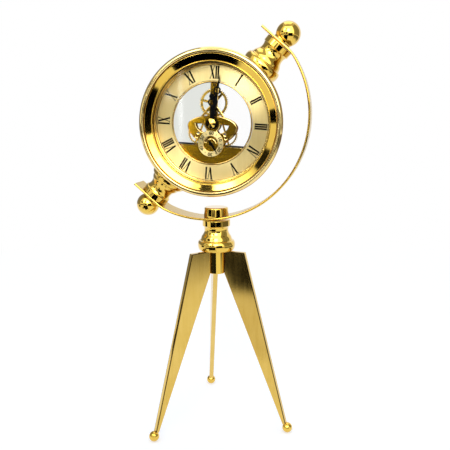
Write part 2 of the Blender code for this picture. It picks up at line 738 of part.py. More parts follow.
def bridge_window(side):
    """Tear-shaped window between the centre and one side of the dome."""
    steps = 4
    outer = []
    for step in range(steps + 1):
        share = step / steps
        angle = WINDOW_FROM + (WINDOW_TO - WINDOW_FROM) * share
        radius = WINDOW_OUT_R + (WINDOW_END_R - WINDOW_OUT_R) * share ** 1.5
        outer.append((side * radius * math.cos(angle), radius * math.sin(angle)))
    inner = [(side * x, y) for x, y in arc(WINDOW_IN_R, WINDOW_TO, WINDOW_FROM, steps)]
    return outer + inner


def side_wheel_place(side):
    """Centre of a side wheel in the dial frame."""
    return (side * SIDE_DISTANCE * math.cos(SIDE_WHEEL_TURN),
            SIDE_DISTANCE * math.sin(SIDE_WHEEL_TURN))


def top_bridge_outline():
    """Outline of the strut and its arch."""
    arch_share = ((0.14, 0.90), (0.36, 0.68), (0.60, 0.42), (0.82, 0.17), (0.93, 0))
    span = ARCH_FOOT_X - STRUT_HALF_W
    rise = ARCH_Y - ARCH_FOOT_Y
    outer = [(STRUT_HALF_W + span * out, ARCH_FOOT_Y + rise * up) for out, up in arch_share]
    inner = []
    for index, point in enumerate(outer[:-1]):
        way = (Vector(outer[index + 1]) - Vector(point)).normalized()
        inner.append((point[0] + way.y * ARCH_W, point[1] - way.x * ARCH_W))
    inner = [point for point in inner if point[0] > STRUT_HALF_W] + [(outer[-1][0] - ARCH_W, ARCH_FOOT_Y)]
    half = [(STRUT_HALF_W, STRUT_TOP_Y), (STRUT_HALF_W, ARCH_Y)] + outer + inner[::-1]
    half += [(STRUT_HALF_W, ARCH_Y - 2 * ARCH_W), (STRUT_HALF_W, STRUT_END_Y)]
    return half + [(-x, y) for x, y in half[::-1]]


def build_bridges(dial, look):
    """Main, rear and top bridges, the segment plate, pillars and the strut's screw."""
    windows = [bridge_window(side) for side in (1, -1)]
    eyelets = [circle(EYELET_R, ROUND_SMALL, (side * EYELET[0], EYELET[1])) for side in (1, -1)]
    pivots = [circle(ARBOR_HOLE_R, ROUND_SMALL, side_wheel_place(side)) for side in (1, -1)]
    pivots.append(circle(ARBOR_HOLE_R, ROUND_SMALL, (0, SECONDS_Y)))
    centre = (0, SECONDS_Y)
    slot = arc(SLOT_OUT_R, SLOT_END, math.pi - SLOT_END, 8, centre)
    slot += arc(SLOT_IN_R, math.pi - SLOT_END, SLOT_END, 8, centre)
    bores = eyelets + pivots + [slot, circle(PIPE_R + GAP, ROUND_SMALL)]
    plate("main_bridge", dome_outline(), windows, MAIN_BRIDGE_FRONT, PLATE_T, look["brass"], dial,
          PLATE_EDGE, bores)
    bores = eyelets + pivots + [circle(PIPE_BORE_R, ROUND_SMALL)]
    plate("rear_bridge", dome_outline(), windows, REAR_BRIDGE_FRONT, PLATE_T, look["brass"], dial,
          bores=bores)
    screw_hole = circle(SCREW_SHANK_R + GAP, ROUND_SMALL, (0, STRUT_SCREW_Y))
    plate("top_bridge", top_bridge_outline(), [], TOP_BRIDGE_FRONT, PLATE_T, look["brass"], dial,
          PLATE_EDGE, [screw_hole])
    start = math.asin(SEGMENT_TOP_Y / SEGMENT_R)
    segment = arc(SEGMENT_R, math.pi - start, math.tau + start, 20)
    plate("segment_plate", segment, [], TOP_BRIDGE_FRONT, PLATE_T, look["brass"], dial, PLATE_EDGE)
    main_back = MAIN_BRIDGE_FRONT - PLATE_T
    segment_back = TOP_BRIDGE_FRONT - PLATE_T
    for place, top, name in ((UPPER_PILLAR, main_back, "upper"), (LOWER_PILLAR, segment_back, "lower")):
        for side, hand in ((1, "right"), (-1, "left")):
            profile = [(0, REAR_BRIDGE_FRONT + GAP), (PILLAR_R, REAR_BRIDGE_FRONT + GAP),
                       (PILLAR_R, top - GAP), (0, top - GAP)]
            turned(f"pillar_{name}_{hand}", profile, look["brass"], dial, ROUND_SMALL,
                   (side * place[0], place[1], 0))
    slotted_screw("strut_screw", dial, look, (0, STRUT_SCREW_Y), TOP_BRIDGE_FRONT)


def slotted_screw(name, dial, look, place, seat):
    """A small round-headed screw through a plate, with its slot."""
    head = seat + GAP
    profile = [(0, CARRIER_BACK), (SCREW_SHANK_R, CARRIER_BACK), (SCREW_SHANK_R, head),
               (SCREW_HEAD_R, head), (SCREW_HEAD_R, head + SCREW_HEAD_T / 2),
               (SCREW_HEAD_R / 2, head + SCREW_HEAD_T), (0, head + SCREW_HEAD_T)]
    screw = turned(name, profile, look["polished"], dial, ROUND_SMALL, (*place, 0))
    slot = rounded_box(SCREW_HEAD_R + CUT_OVERRUN, SCREW_SLOT_W / 2, -SCREW_SLOT_W / 2,
                       SCREW_SLOT_W / 4)
    tool = plate("tool_slot", slot, [], head + CUT_OVERRUN, CUT_OVERRUN - SCREW_HEAD_T / 2,
                 look["polished"], dial, place=(*place, 0))
    combine(screw, tool, "DIFFERENCE")


def gear_outline(teeth, phase):
    """Outline of a toothed wheel with straight-sided teeth."""
    pitch_r = GEAR_MODULE * teeth / 2
    step = math.tau / teeth
    tip = pitch_r + GEAR_MODULE * TOOTH_TIP_SHARE
    root = pitch_r - GEAR_MODULE * TOOTH_ROOT_SHARE
    root_half = step * TOOTH_ROOT_WIDTH_SHARE / 2
    tip_half = step * TOOTH_TIP_WIDTH_SHARE / 2
    points = []
    for tooth in range(teeth):
        middle = phase + tooth * step
        for radius, angle in ((root, -root_half), (tip, -tip_half), (tip, tip_half), (root, root_half)):
            points.append((radius * math.cos(middle + angle), radius * math.sin(middle + angle)))
    return points


def spoke_windows(teeth, spokes, phase, rim_w, spoke_w):
    """Openings between the spokes of a wheel."""
    rim_r = GEAR_MODULE * teeth / 2 - GEAR_MODULE * TOOTH_ROOT_SHARE - rim_w
    step = math.tau / spokes
    outer = math.asin(spoke_w / 2 / rim_r)
    inner = math.asin(spoke_w / 2 / WHEEL_HUB_R)
    windows = []
    for spoke in range(spokes):
        start = phase + spoke * step
        windows.append(arc(rim_r, start + outer, start + step - outer, 6)
                       + arc(WHEEL_HUB_R, start + step - inner, start + inner, 2))
    return windows


def mesh_phase(pinion_teeth, wheel_teeth, direction):
    """Phase that sets a wheel's gap on the pinion's tooth. The pinion has a tooth at angle zero."""
    lag = direction % (math.tau / pinion_teeth)
    gap_at = direction + math.pi + lag * pinion_teeth / wheel_teeth
    return gap_at + math.pi / wheel_teeth


def build_wheels(dial, look):
    """Three spoked wheels on their arbors, and the centre arbor with its two pinions."""
    phase = mesh_phase(TOP_PINION_TEETH, TOP_TEETH, math.pi / 2)
    bore = circle(ARBOR_HOLE_R, ROUND_SMALL)
    windows = spoke_windows(TOP_TEETH, 3, math.radians(50), TOP_RIM_W, TOP_SPOKE_W)
    plate("top_wheel", gear_outline(TOP_TEETH, phase), windows, TOP_WHEEL_FRONT, WHEEL_T,
          look["brass"], dial, bores=[bore], place=(0, TOP_WHEEL_Y, 0))
    stud_top = TOP_BRIDGE_FRONT - PLATE_T - GAP
    cap_top = TOP_WHEEL_FRONT - WHEEL_T - GAP
    stud = [(0, cap_top - WHEEL_CAP_T), (2 * ARBOR_R, cap_top - WHEEL_CAP_T), (2 * ARBOR_R, cap_top),
            (ARBOR_R, cap_top), (ARBOR_R, stud_top), (0, stud_top)]
    turned("top_wheel_stud", stud, look["polished"], dial, ROUND_SMALL, (0, TOP_WHEEL_Y, 0))
    for side, hand in ((1, "right"), (-1, "left")):
        place = side_wheel_place(side)
        direction = math.atan2(place[1], place[0])
        phase = mesh_phase(SIDE_PINION_TEETH, SIDE_TEETH, direction)
        windows = spoke_windows(SIDE_TEETH, 4, side * math.radians(20), SIDE_RIM_W, SIDE_SPOKE_W)
        plate(f"{hand}_wheel", gear_outline(SIDE_TEETH, phase), windows, SIDE_WHEEL_FRONT,
              WHEEL_T, look["brass"], dial, bores=[bore], place=(*place, 0))
        low = REAR_BRIDGE_FRONT - PLATE_T - ARBOR_OUT
        high = MAIN_BRIDGE_FRONT + ARBOR_OUT
        arbor = [(0, low), (ARBOR_R, low), (ARBOR_R, high), (0, high)]
        turned(f"{hand}_arbor", arbor, look["steel"], dial, ROUND_SMALL, (*place, 0))
    low = REAR_BRIDGE_FRONT - PLATE_T - ARBOR_OUT
    high = MINUTE_HAND_FRONT + GAP + CAP_BORE
    arbor = [(0, low), (CENTRE_ARBOR_R, low), (CENTRE_ARBOR_R, high), (0, high)]
    item = turned("centre_arbor", arbor, look["steel"], dial, ROUND_SMALL)
    margin = (PINION_T - WHEEL_T) / 2
    for teeth, front in ((SIDE_PINION_TEETH, SIDE_WHEEL_FRONT), (TOP_PINION_TEETH, TOP_WHEEL_FRONT)):
        tool = plate("tool_pinion", gear_outline(teeth, 0), [], front + margin, PINION_T,
                     look["steel"], dial)
        combine(item, tool, "UNION")


def build_seconds_dial(dial, look):
    """Ring that carries the seconds numbers, on the main bridge's boss."""
    back = SECONDS_DIAL_FRONT - SECONDS_DIAL_T
    points = [(SECONDS_DIAL_IN_R, back), (SECONDS_DIAL_R, back),
              (SECONDS_DIAL_R, SECONDS_DIAL_FRONT), (SECONDS_DIAL_IN_R, SECONDS_DIAL_FRONT)]
    ring("seconds_dial", points, look["dial"], dial, 32, (0, SECONDS_Y, 0))


def hand_outline(boss_r, length, swellings):
    """Outline of a hand along +y. A swelling is a round part as (distance, radius)."""
    swellings = [(0, boss_r)] + list(swellings)
    stations = {-boss_r: 0, length: HAND_TIP_HALF_W}
    for middle, radius in swellings:
        for step in range(6):
            station = middle - radius * math.cos(math.pi * step / 5)
            stations[station] = 0
    right = []
    for station in sorted(stations):
        taper = HAND_HALF_W + (HAND_TIP_HALF_W - HAND_HALF_W) * max(station, 0) / length
        width = taper if station > -boss_r / 2 else 0
        for middle, radius in swellings:
            inside = radius ** 2 - (station - middle) ** 2
            width = max(width, math.sqrt(max(inside, 0)))
        right.append((width, station))
    bottom, right = right[0], right[1:]
    left = [(-x, y) for x, y in right[::-1]]
    return [bottom] + right + left


def build_hands(dial, look):
    """Hour, minute and seconds hands with what they turn on."""
    hour_turn = Matrix.Rotation(-HOUR_ANGLE, 4, "Z")
    minute_turn = Matrix.Rotation(-MINUTE_ANGLE, 4, "Z")
    seconds_turn = Matrix.Rotation(-SECONDS_ANGLE, 4, "Z")
    hour = hand_outline(HOUR_BOSS_R, HOUR_LEN, ((HOUR_BEAD_AT, SMALL_BEAD_R),
                                                (HOUR_RING_AT, HAND_RING_R),
                                                (HOUR_LEAF_AT, BEAD_R)))
    holes = [circle(PIPE_BORE_R, ROUND_SMALL),
             circle(HAND_RING_HOLE_R, ROUND_SMALL, (0, HOUR_RING_AT))]
    plate("hour_hand", hour, holes, HOUR_HAND_FRONT, HAND_T, look["black"], dial, turn=hour_turn)
    wheel_top = MAIN_BRIDGE_FRONT - PLATE_T - GAP
    pipe_top = HOUR_HAND_FRONT - HAND_T - GAP
    pipe = [(PIPE_BORE_R, wheel_top - HOUR_WHEEL_T), (HOUR_WHEEL_R, wheel_top - HOUR_WHEEL_T),
            (HOUR_WHEEL_R, wheel_top), (PIPE_R, wheel_top), (PIPE_R, pipe_top),
            (PIPE_BORE_R, pipe_top)]
    ring("hour_pipe", pipe, look["polished"], dial, ROUND_BALL)
    minute = hand_outline(MINUTE_BOSS_R, MINUTE_LEN, ((MINUTE_BEAD_AT, BEAD_R),
                                                      (MINUTE_SMALL_BEAD_AT, SMALL_BEAD_R),
                                                      (MINUTE_RING_AT, HAND_RING_R)))
    holes = [circle(PIPE_BORE_R, ROUND_SMALL),
             circle(HAND_RING_HOLE_R, ROUND_SMALL, (0, MINUTE_RING_AT))]
    plate("minute_hand", minute, holes, MINUTE_HAND_FRONT, HAND_T, look["black"], dial,
          turn=minute_turn)
    base = MINUTE_HAND_FRONT + GAP
    cap = [(0, base + CAP_BORE + GAP), (PIPE_BORE_R, base + CAP_BORE + GAP), (PIPE_BORE_R, base),
           (CAP_R, base), (CAP_R, base + CAP_RIM_H), (0, base + CAP_H)]
    turned("hand_cap", cap, look["polished"], dial, ROUND_POST)
    half = [(SECONDS_HALF_W / 2, -SECONDS_TAIL), (SECONDS_HALF_W, -SECONDS_BOSS_R)]
    half += arc(SECONDS_BOSS_R, -math.pi / 4, math.pi / 4, 4)
    half += [(SECONDS_HALF_W, SECONDS_BOSS_R), (SECONDS_HALF_W / 2, SECONDS_LEN)]
    seconds = half + [(-x, y) for x, y in half[::-1]]
    plate("seconds_hand", seconds, [], SECONDS_HAND_FRONT, HAND_T, look["black"], dial,
          place=(0, SECONDS_Y, 0), turn=seconds_turn)
    top = SECONDS_HAND_FRONT - HAND_T - GAP
    arbor = [(0, NOSE_FRONT + GAP), (ARBOR_R, NOSE_FRONT + GAP), (ARBOR_R, top), (0, top)]
    turned("seconds_arbor", arbor, look["steel"], dial, ROUND_SMALL, (0, SECONDS_Y, 0))


def build_module(dial, look):
    """Quartz module, its cell, and the setting knob."""
    body = rounded_box(MODULE_HALF_W, MODULE_TOP_Y, MODULE_BOTTOM_Y, MODULE_CORNER)
    module = plate("quartz_module", body, [], MODULE_FRONT, MODULE_FRONT + MODULE_BACK,
                   look["plastic"], dial)
    nose = rounded_box(NOSE_HALF_W, NOSE_TOP_Y, MODULE_TOP_Y - CUT_OVERRUN, MODULE_CORNER)
    tool = plate("tool_nose", nose, [], NOSE_FRONT, NOSE_FRONT + NOSE_BACK, look["plastic"], dial)
    combine(module, tool, "UNION")
    bay = rounded_box(BAY_HALF_W, BAY_TOP_Y, BAY_BOTTOM_Y, MODULE_CORNER / 2)
    tool = plate("tool_bay", bay, [], BAY_DEPTH - MODULE_BACK, BAY_DEPTH + CUT_OVERRUN,
                 look["plastic"], dial)
    combine(module, tool, "DIFFERENCE")
    half = CELL_LEN / 2
    cell = [(0, -half), (CELL_R, -half), (CELL_R, half), (CELL_NUB_R, half),
            (CELL_NUB_R, half + CELL_NUB_LEN), (0, half + CELL_NUB_LEN)]
    cell_z = BAY_DEPTH - MODULE_BACK - CELL_R - GAP
    turned("battery_cell", cell, look["cell"], dial, ROUND_BALL,
           (0, (BAY_TOP_Y + BAY_BOTTOM_Y) / 2, cell_z), Matrix.Rotation(math.pi / 2, 4, "Y"))
    build_knob(dial, look)


def build_knob(dial, look):
    """Fluted knob behind the rear panel that sets the hands."""
    back = -REAR_PANEL_FRONT - REAR_PANEL_T - GAP
    flutes = []
    for step in range(2 * KNOB_FLUTES):
        angle = math.pi * step / KNOB_FLUTES
        radius = KNOB_R - KNOB_FLUTE * (step % 2)
        flutes.append((radius * math.cos(angle), radius * math.sin(angle)))
    knob = plate("setting_knob", flutes, [], back, KNOB_T, look["plastic"], dial,
                 place=(0, KNOB_Y, 0))
    tool = cylinder_tool(KNOB_SHAFT_R, back - KNOB_T / 2, -NOSE_BACK - GAP, ROUND_SMALL, dial,
                         (0, KNOB_Y, 0))
    combine(knob, tool, "UNION")


def build_rear(dial, look):
    """Clear rear window above, panel with battery cover below, and their retaining ring."""
    front = -REAR_PANEL_FRONT
    split = math.asin(REAR_SPLIT_Y / INSERT_R)
    window = arc(INSERT_R, split, math.pi - split, 28)
    plate("rear_window", window, [], front, REAR_PANEL_T, look["clear"], dial)
    split = math.asin((REAR_SPLIT_Y - GAP) / INSERT_R)
    panel = arc(INSERT_R, math.pi - split, math.tau + split, 18)
    opening = rounded_box(BAY_HALF_W, BAY_TOP_Y, BAY_BOTTOM_Y, MODULE_CORNER / 2)
    shaft_hole = circle(KNOB_SHAFT_R + GAP, ROUND_SMALL, (0, KNOB_Y))
    plate("rear_panel", panel, [opening, shaft_hole], front, REAR_PANEL_T, look["plastic"], dial)
    cover = rounded_box(BAY_HALF_W - GAP, BAY_TOP_Y - GAP, BAY_BOTTOM_Y + GAP, MODULE_CORNER / 2)
    item = plate("battery_cover", cover, [], front, REAR_PANEL_T, look["plastic"], dial)
    middle = (BAY_TOP_Y + BAY_BOTTOM_Y) / 2
    grip = rounded_box(COVER_GRIP_W / 2, middle + COVER_GRIP_H / 2, middle - COVER_GRIP_H / 2,
                       COVER_GRIP_H / 4)
    tool = plate("tool_grip", grip, [], front - REAR_PANEL_T / 2, REAR_PANEL_T / 2 + COVER_GRIP_OUT,
                 look["plastic"], dial)
    combine(item, tool, "UNION")
    ring_front = front - REAR_PANEL_T - GAP
    retainer = [(DRUM_IN_R - LEDGE_W, ring_front - REAR_RING_T), (INSERT_R, ring_front - REAR_RING_T),
                (INSERT_R, ring_front), (DRUM_IN_R - LEDGE_W, ring_front)]
    ring("rear_retaining_ring", retainer, look["polished"], dial, ROUND_INNER)


def build_trunnions(clock, look):
    """The two posts at the case, with their screws, studs and ball finials."""
    band_out = math.sqrt(ARC_OUT_R ** 2 - max(ARC_OFFSET - FINIAL_NECK_R, 0) ** 2)
    base = band_out + GAP
    rise = math.sqrt(FINIAL_R ** 2 - FINIAL_NECK_R ** 2)
    centre = FINIAL_NECK_H + rise
    start = -math.asin(rise / FINIAL_R)
    stud_low = POST_SEAT - STUD_IN
    stud_high = base + STUD_OUT
    finial = [(0, stud_high + GAP - base), (STUD_R + GAP, stud_high + GAP - base), (STUD_R + GAP, 0),
              (FINIAL_NECK_R, 0)]
    for step in range(9):
        angle = start + (math.pi / 2 - start) * step / 8
        finial.append((FINIAL_R * math.cos(angle), centre + FINIAL_R * math.sin(angle)))
    finial[-1] = (0, centre + FINIAL_R)
    screw_end = DRUM_R + GAP + POST_SCREW_IN
    head_top = DRUM_IN_R - GAP
    screw = [(0, head_top - POST_SCREW_HEAD_T), (POST_SCREW_HEAD_R, head_top - POST_SCREW_HEAD_T),
             (POST_SCREW_HEAD_R, head_top), (POST_SCREW_R, head_top), (POST_SCREW_R, screw_end),
             (0, screw_end)]
    for sign, name in ((1, "upper"), (-1, "lower")):
        direction = clock_vector(sign)
        turn = along(direction)
        seat = direction * (DRUM_R + GAP)
        turned(f"post_{name}", post_points(), look["polished"], clock, ROUND_POST, seat, turn)
        turned(f"finial_{name}", finial, look["polished"], clock, ROUND_POST, direction * base, turn)
        stud = [(0, stud_low), (STUD_R, stud_low), (STUD_R, stud_high), (0, stud_high)]
        turned(f"stud_{name}", stud, look["steel"], clock, ROUND_SMALL, turn=turn)
        turned(f"post_screw_{name}", screw, look["steel"], clock, ROUND_SMALL, turn=turn)


def settle(root):
    """Moves everything so that the origin is the middle of the bounding box's lower face."""
    bpy.context.view_layer.update()
    corners = []
    for item in bpy.data.objects:
        if item.type == "MESH" and not item.hide_render:
            corners += [item.matrix_world @ vert.co for vert in item.data.vertices]
    low = Vector(min(corner[axis] for corner in corners) for axis in range(3))
    high = Vector(max(corner[axis] for corner in corners) for axis in range(3))
    root.location = (-(low.x + high.x) / 2, -(low.y + high.y) / 2, -low.z)
    bpy.context.view_layer.update()


def build():
    """Builds the whole clock."""
    clear_scene()
    look = make_materials()
    root = frame("root_frame", None, (0, 0, 0))
    stand = frame("stand_frame", root, (0, 0, 0), Matrix.Rotation(STAND_TURN, 4, "Z"))
    bracket = frame("bracket_frame", root, ARC_CENTRE)
    facing = Matrix.Rotation(math.pi / 2, 4, "X")
    clock = frame("clock_frame", root, CLOCK_CENTRE, facing)
    dial = frame("dial_frame", clock, (0, 0, 0), Matrix.Rotation(-DIAL_ROLL, 4, "Z"))
    build_stand(stand, look)
    nut = build_cap_nut(stand, look)
    seat_cap_nut(nut, bracket)
    build_bracket(bracket, look)
    build_case(clock, look)
    build_bezel(clock, look)
    build_trunnions(clock, look)
    build_dial(dial, look)
    build_bridges(dial, look)
    build_wheels(dial, look)
    build_seconds_dial(dial, look)
    build_hands(dial, look)
    build_module(dial, look)
    build_rear(dial, look)
    settle(root)


build()
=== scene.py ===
import math

import bmesh
import bpy
from mathutils import Matrix, Vector


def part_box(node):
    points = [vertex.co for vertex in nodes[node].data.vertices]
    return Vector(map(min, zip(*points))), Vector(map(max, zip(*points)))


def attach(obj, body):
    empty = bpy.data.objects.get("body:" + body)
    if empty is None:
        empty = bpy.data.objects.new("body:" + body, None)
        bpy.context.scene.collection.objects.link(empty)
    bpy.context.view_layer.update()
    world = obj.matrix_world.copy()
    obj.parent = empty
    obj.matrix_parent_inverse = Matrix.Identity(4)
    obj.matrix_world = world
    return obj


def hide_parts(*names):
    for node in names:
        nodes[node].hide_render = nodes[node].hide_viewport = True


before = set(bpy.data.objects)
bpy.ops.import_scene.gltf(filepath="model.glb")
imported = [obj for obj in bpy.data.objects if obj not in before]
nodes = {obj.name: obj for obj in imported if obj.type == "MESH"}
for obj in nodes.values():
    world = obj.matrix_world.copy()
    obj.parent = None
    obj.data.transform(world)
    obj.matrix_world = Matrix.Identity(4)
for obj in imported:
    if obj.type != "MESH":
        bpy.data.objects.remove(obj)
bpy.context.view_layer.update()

# Sizes that several pieces share, in metres and radians, named as in the part's source
GAP = 0.0003
DRUM_R = 0.0515
CASE_WALL = 0.0013
BEZEL_W = 0.0060
DIAL_FRONT = 0.0096
DIAL_ROLL = math.radians(3.8)
SECONDS_Y = -0.0154
STAND_TURN = math.radians(18.6)
LEG_TOP_Z = 0.1470
SPIGOT_R = 0.0035
SPIGOT_H = 0.0070
STUD_R = 0.0020
CENTRE_ARBOR_R = 0.0010
POST_LEN = 0.0248
POST_COLLAR_R = 0.0112
TRUNNION_LEAN = math.radians(41.0)
ARC_OFFSET = 0.0084
BAND_T = 0.0018

# Sizes that follow from them
DRUM_IN_R = DRUM_R - CASE_WALL
INSERT_R = DRUM_IN_R - GAP
APERTURE_R = DRUM_R - GAP - BEZEL_W
STUD_BORE_R = STUD_R + GAP
HAND_BORE_R = CENTRE_ARBOR_R + GAP
POST_SEAT = DRUM_R + GAP + POST_LEN
ARC_IN_R = math.hypot(POST_SEAT, ARC_OFFSET + POST_COLLAR_R) + GAP
ARC_OUT_R = ARC_IN_R + BAND_T
BAND_SEAT = POST_SEAT + GAP

# Mesh fineness
ROUND_CASE = 200
ROUND_GLASS = 160
ROUND_POST = 128
ROUND_SECONDS = 96
ROUND_SMALL = 64
ROUND_HOLE = 32
SHARP_ANGLE = math.radians(35)
MERGE = 1e-7

# Frames of the clock, its dials and the stand. In all but the stand's, z comes towards the viewer
low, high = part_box("dial_ring")
CENTRE = Vector(((low.x + high.x) / 2, low.y + DIAL_FRONT, (low.z + high.z) / 2))
low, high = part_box("stand_hub")
AXIS = Vector(((low.x + high.x) / 2, (low.y + high.y) / 2, 0))
FACING = Matrix.Rotation(math.pi / 2, 4, "X")
CLOCK_AT = Matrix.Translation(CENTRE) @ FACING
DIAL_AT = CLOCK_AT @ Matrix.Rotation(-DIAL_ROLL, 4, "Z")
SECONDS_AT = DIAL_AT @ Matrix.Translation((0, SECONDS_Y, 0))
STAND_AT = Matrix.Translation(AXIS) @ Matrix.Rotation(STAND_TURN, 4, "Z")
TRUNNION = Vector((math.sin(TRUNNION_LEAN), 0, math.cos(TRUNNION_LEAN)))
ARC_CENTRE = CENTRE - ARC_OFFSET * Vector((TRUNNION.z, 0, -TRUNNION.x))
SIDES = ((1, "upper"), (-1, "lower"))


# Node helpers
class Tree:
    """Short calls for the nodes of a material or a world."""

    def __init__(self, owner, output="ShaderNodeOutputMaterial"):
        owner.use_nodes = True
        self.owner = owner
        self.tree = owner.node_tree
        self.tree.nodes.clear()
        self.out = self.add(output)

    def add(self, kind, options=None, **inputs):
        """A node with its options set and its inputs fed by name, with _ for a space."""
        node = self.tree.nodes.new(kind)
        for key, value in (options or {}).items():
            setattr(node, key, value)
        for key, value in inputs.items():
            self.feed(node, key.replace("_", " "), value)
        return node

    def link(self, source, target):
        self.tree.links.new(source, target)

    def feed(self, node, socket, value):
        """Links an input to a socket, or sets it to a value."""
        if isinstance(value, bpy.types.NodeSocket):
            self.link(value, node.inputs[socket])
        else:
            node.inputs[socket].default_value = value

    def place(self):
        return self.add("ShaderNodeTexCoord").outputs["Object"]

    def mapped(self, vector, scale=(1, 1, 1), rotation=(0, 0, 0)):
        return self.add("ShaderNodeMapping", Vector=vector, Scale=scale, Rotation=rotation).outputs[0]

    def noise(self, vector, scale, detail=3, roughness=0.55):
        node = self.add("ShaderNodeTexNoise", Vector=vector, Scale=scale, Detail=detail, Roughness=roughness)
        return node.outputs["Fac"]

    def spread(self, value, low, high, start=0.3, end=0.7):
        """A value from start to end becomes one from low to high."""
        return self.add("ShaderNodeMapRange", Value=value, From_Min=start, From_Max=end,
                        To_Min=low, To_Max=high).outputs[0]

    def math(self, operation, a, b):
        node = self.add("ShaderNodeMath", {"operation": operation})
        self.feed(node, 0, a)
        self.feed(node, 1, b)
        return node.outputs[0]

    def blend(self, factor, a, b):
        """A colour between the colours a and b."""
        node = self.add("ShaderNodeMix", {"data_type": "RGBA"}, Factor=factor)
        self.feed(node, 6, (*a, 1))
        self.feed(node, 7, (*b, 1))
        return node.outputs[2]

    def bump(self, height, strength, distance):
        return self.add("ShaderNodeBump", Height=height, Strength=strength, Distance=distance).outputs[0]

    def clear(self, colour):
        return self.add("ShaderNodeBsdfTransparent", Color=colour).outputs[0]

    def glow(self, strength):
        return self.add("ShaderNodeEmission", Strength=strength).outputs[0]

    def end(self, shader):
        """Gives a shader to the output and returns the tree's owner."""
        self.link(shader, self.out.inputs[0])
        return self.owner

    def end_mixed(self, factor, first, second):
        """The same with a mix of two shaders."""
        node = self.add("ShaderNodeMixShader")
        self.feed(node, 0, factor)
        self.feed(node, 1, first)
        self.feed(node, 2, second)
        return self.end(node.outputs[0])


def material_tree(name):
    return Tree(bpy.data.materials.new(name))


# Materials
QUARTER_TURN = 0.25
LINES_SHARE = 0.55
CLOUD_PALER = 1.7
CLOUD_LEAST = 0.001
CLOUD_ROUGHER = 2.5


def polished_gold(name, light, dark, rough, coat):
    """Lacquered mirror gold with faint wiping marks."""
    t = material_tree(name)
    at = t.place()
    cloud = t.noise(at, scale=38)
    wipe = t.noise(t.mapped(at, (1, 1, 7), rotation=(0.4, 0.2, 0.9)), scale=330, detail=4, roughness=0.7)
    return t.end(t.add(
        "ShaderNodeBsdfPrincipled", Base_Color=t.blend(t.spread(cloud, 0, 1), dark, light), Metallic=1.0,
        Roughness=t.spread(wipe, *rough, start=0.35), Coat_Weight=coat, Coat_Roughness=0.06,
        Normal=t.bump(wipe, strength=0.03, distance=0.00001)).outputs[0])


def brushed_metal(name, light, dark, grain, rough, strength, turn=(0, 0, 0), metallic=1.0, rings=0.0):
    """Metal with a fine grain. The grain scale is small along the brushing.

    rings makes the gloss that of a face brushed in circles round the object's middle.
    """
    t = material_tree(name)
    at = t.place()
    lines = t.noise(t.mapped(at, grain, rotation=turn), scale=1, detail=4, roughness=0.65)
    cloud = t.noise(at, scale=55)
    lines_part = t.math("MULTIPLY", lines, LINES_SHARE)
    tone = t.math("ADD", lines_part, t.math("MULTIPLY", cloud, 1 - LINES_SHARE))
    shader = t.add(
        "ShaderNodeBsdfPrincipled", Base_Color=t.blend(t.spread(tone, 0, 1, 0.38, 0.62), dark, light),
        Metallic=metallic, Roughness=t.spread(lines, *rough),
        Normal=t.bump(lines, strength, distance=0.00002))
    if rings:
        way = t.add("ShaderNodeTangent", {"direction_type": "RADIAL", "axis": "Y"})
        t.feed(shader, "Tangent", way.outputs[0])
        t.feed(shader, "Anisotropic", rings)
        t.feed(shader, "Anisotropic Rotation", QUARTER_TURN)
    return t.end(shader.outputs[0])


def lacquer(name, base, rough, grain, strength, coat=0.0, specular=0.5):
    """Painted or moulded surface with a fine grain and paler clouds."""
    t = material_tree(name)
    at = t.place()
    fine = t.noise(at, grain, roughness=0.6)
    cloud = t.noise(at, scale=70, detail=2)
    paler = tuple(c * CLOUD_PALER + CLOUD_LEAST for c in base)
    return t.end(t.add(
        "ShaderNodeBsdfPrincipled", Base_Color=t.blend(t.spread(cloud, 0, 1), base, paler),
        Roughness=t.spread(fine, *rough), Specular_IOR_Level=specular, Coat_Weight=coat,
        Coat_Roughness=0.08, Normal=t.bump(fine, strength, distance=0.00003)).outputs[0])


def clear_sheet(name, ior, rough, left_grey=None):
    """Thin clear sheet: what is behind it shows, with a Fresnel reflection.

    left_grey is a grey tint that darkens its left half.
    """
    t = material_tree(name)
    at = t.place()
    tint = (1, 1, 1, 1)
    # Grey tint over the left half, blended across the centre.
    if left_grey is not None:
        half_blend = 0.004
        along_x = t.add("ShaderNodeSeparateXYZ", Vector=at).outputs["X"]
        side = t.spread(along_x, 0, 1, CENTRE.x - half_blend, CENTRE.x + half_blend)
        tint = t.blend(side, left_grey, tint[:3])
    cloud = t.noise(at, scale=60, detail=2)
    gloss = t.add("ShaderNodeBsdfGlossy", Roughness=t.spread(cloud, rough, rough * CLOUD_ROUGHER))
    fresnel = t.add("ShaderNodeFresnel", IOR=ior)
    return t.end_mixed(fresnel.outputs[0], t.clear(tint), gloss.outputs[0])


GOLD = polished_gold(
    "gold_polished", light=(0.84, 0.55, 0.060), dark=(0.77, 0.48, 0.045), rough=(0.04, 0.08), coat=1.0)
# gold_edge: polished gold paler than gold_polished, for beads and broken edges; partly their polish, partly
# painted highlight.
EDGE = polished_gold(
    "gold_edge", light=(0.86, 0.64, 0.24), dark=(0.79, 0.56, 0.18), rough=(0.05, 0.10), coat=0.8)
LEG = brushed_metal(
    "gold_leg", light=(0.78, 0.53, 0.13), dark=(0.70, 0.46, 0.095), grain=(500, 500, 40),
    rough=(0.12, 0.17), strength=0.04)
# gold_rim: a paler polished gold still, for the case lip, the rehaut and bridge edges; partly their polish,
# partly painted highlight.
RIM = polished_gold(
    "gold_rim", light=(0.90, 0.68, 0.25), dark=(0.84, 0.60, 0.18), rough=(0.05, 0.10), coat=1.0)
SIDE = polished_gold(
    "gold_leg_edge", light=(0.80, 0.56, 0.16), dark=(0.72, 0.48, 0.11), rough=(0.08, 0.14), coat=0.3)
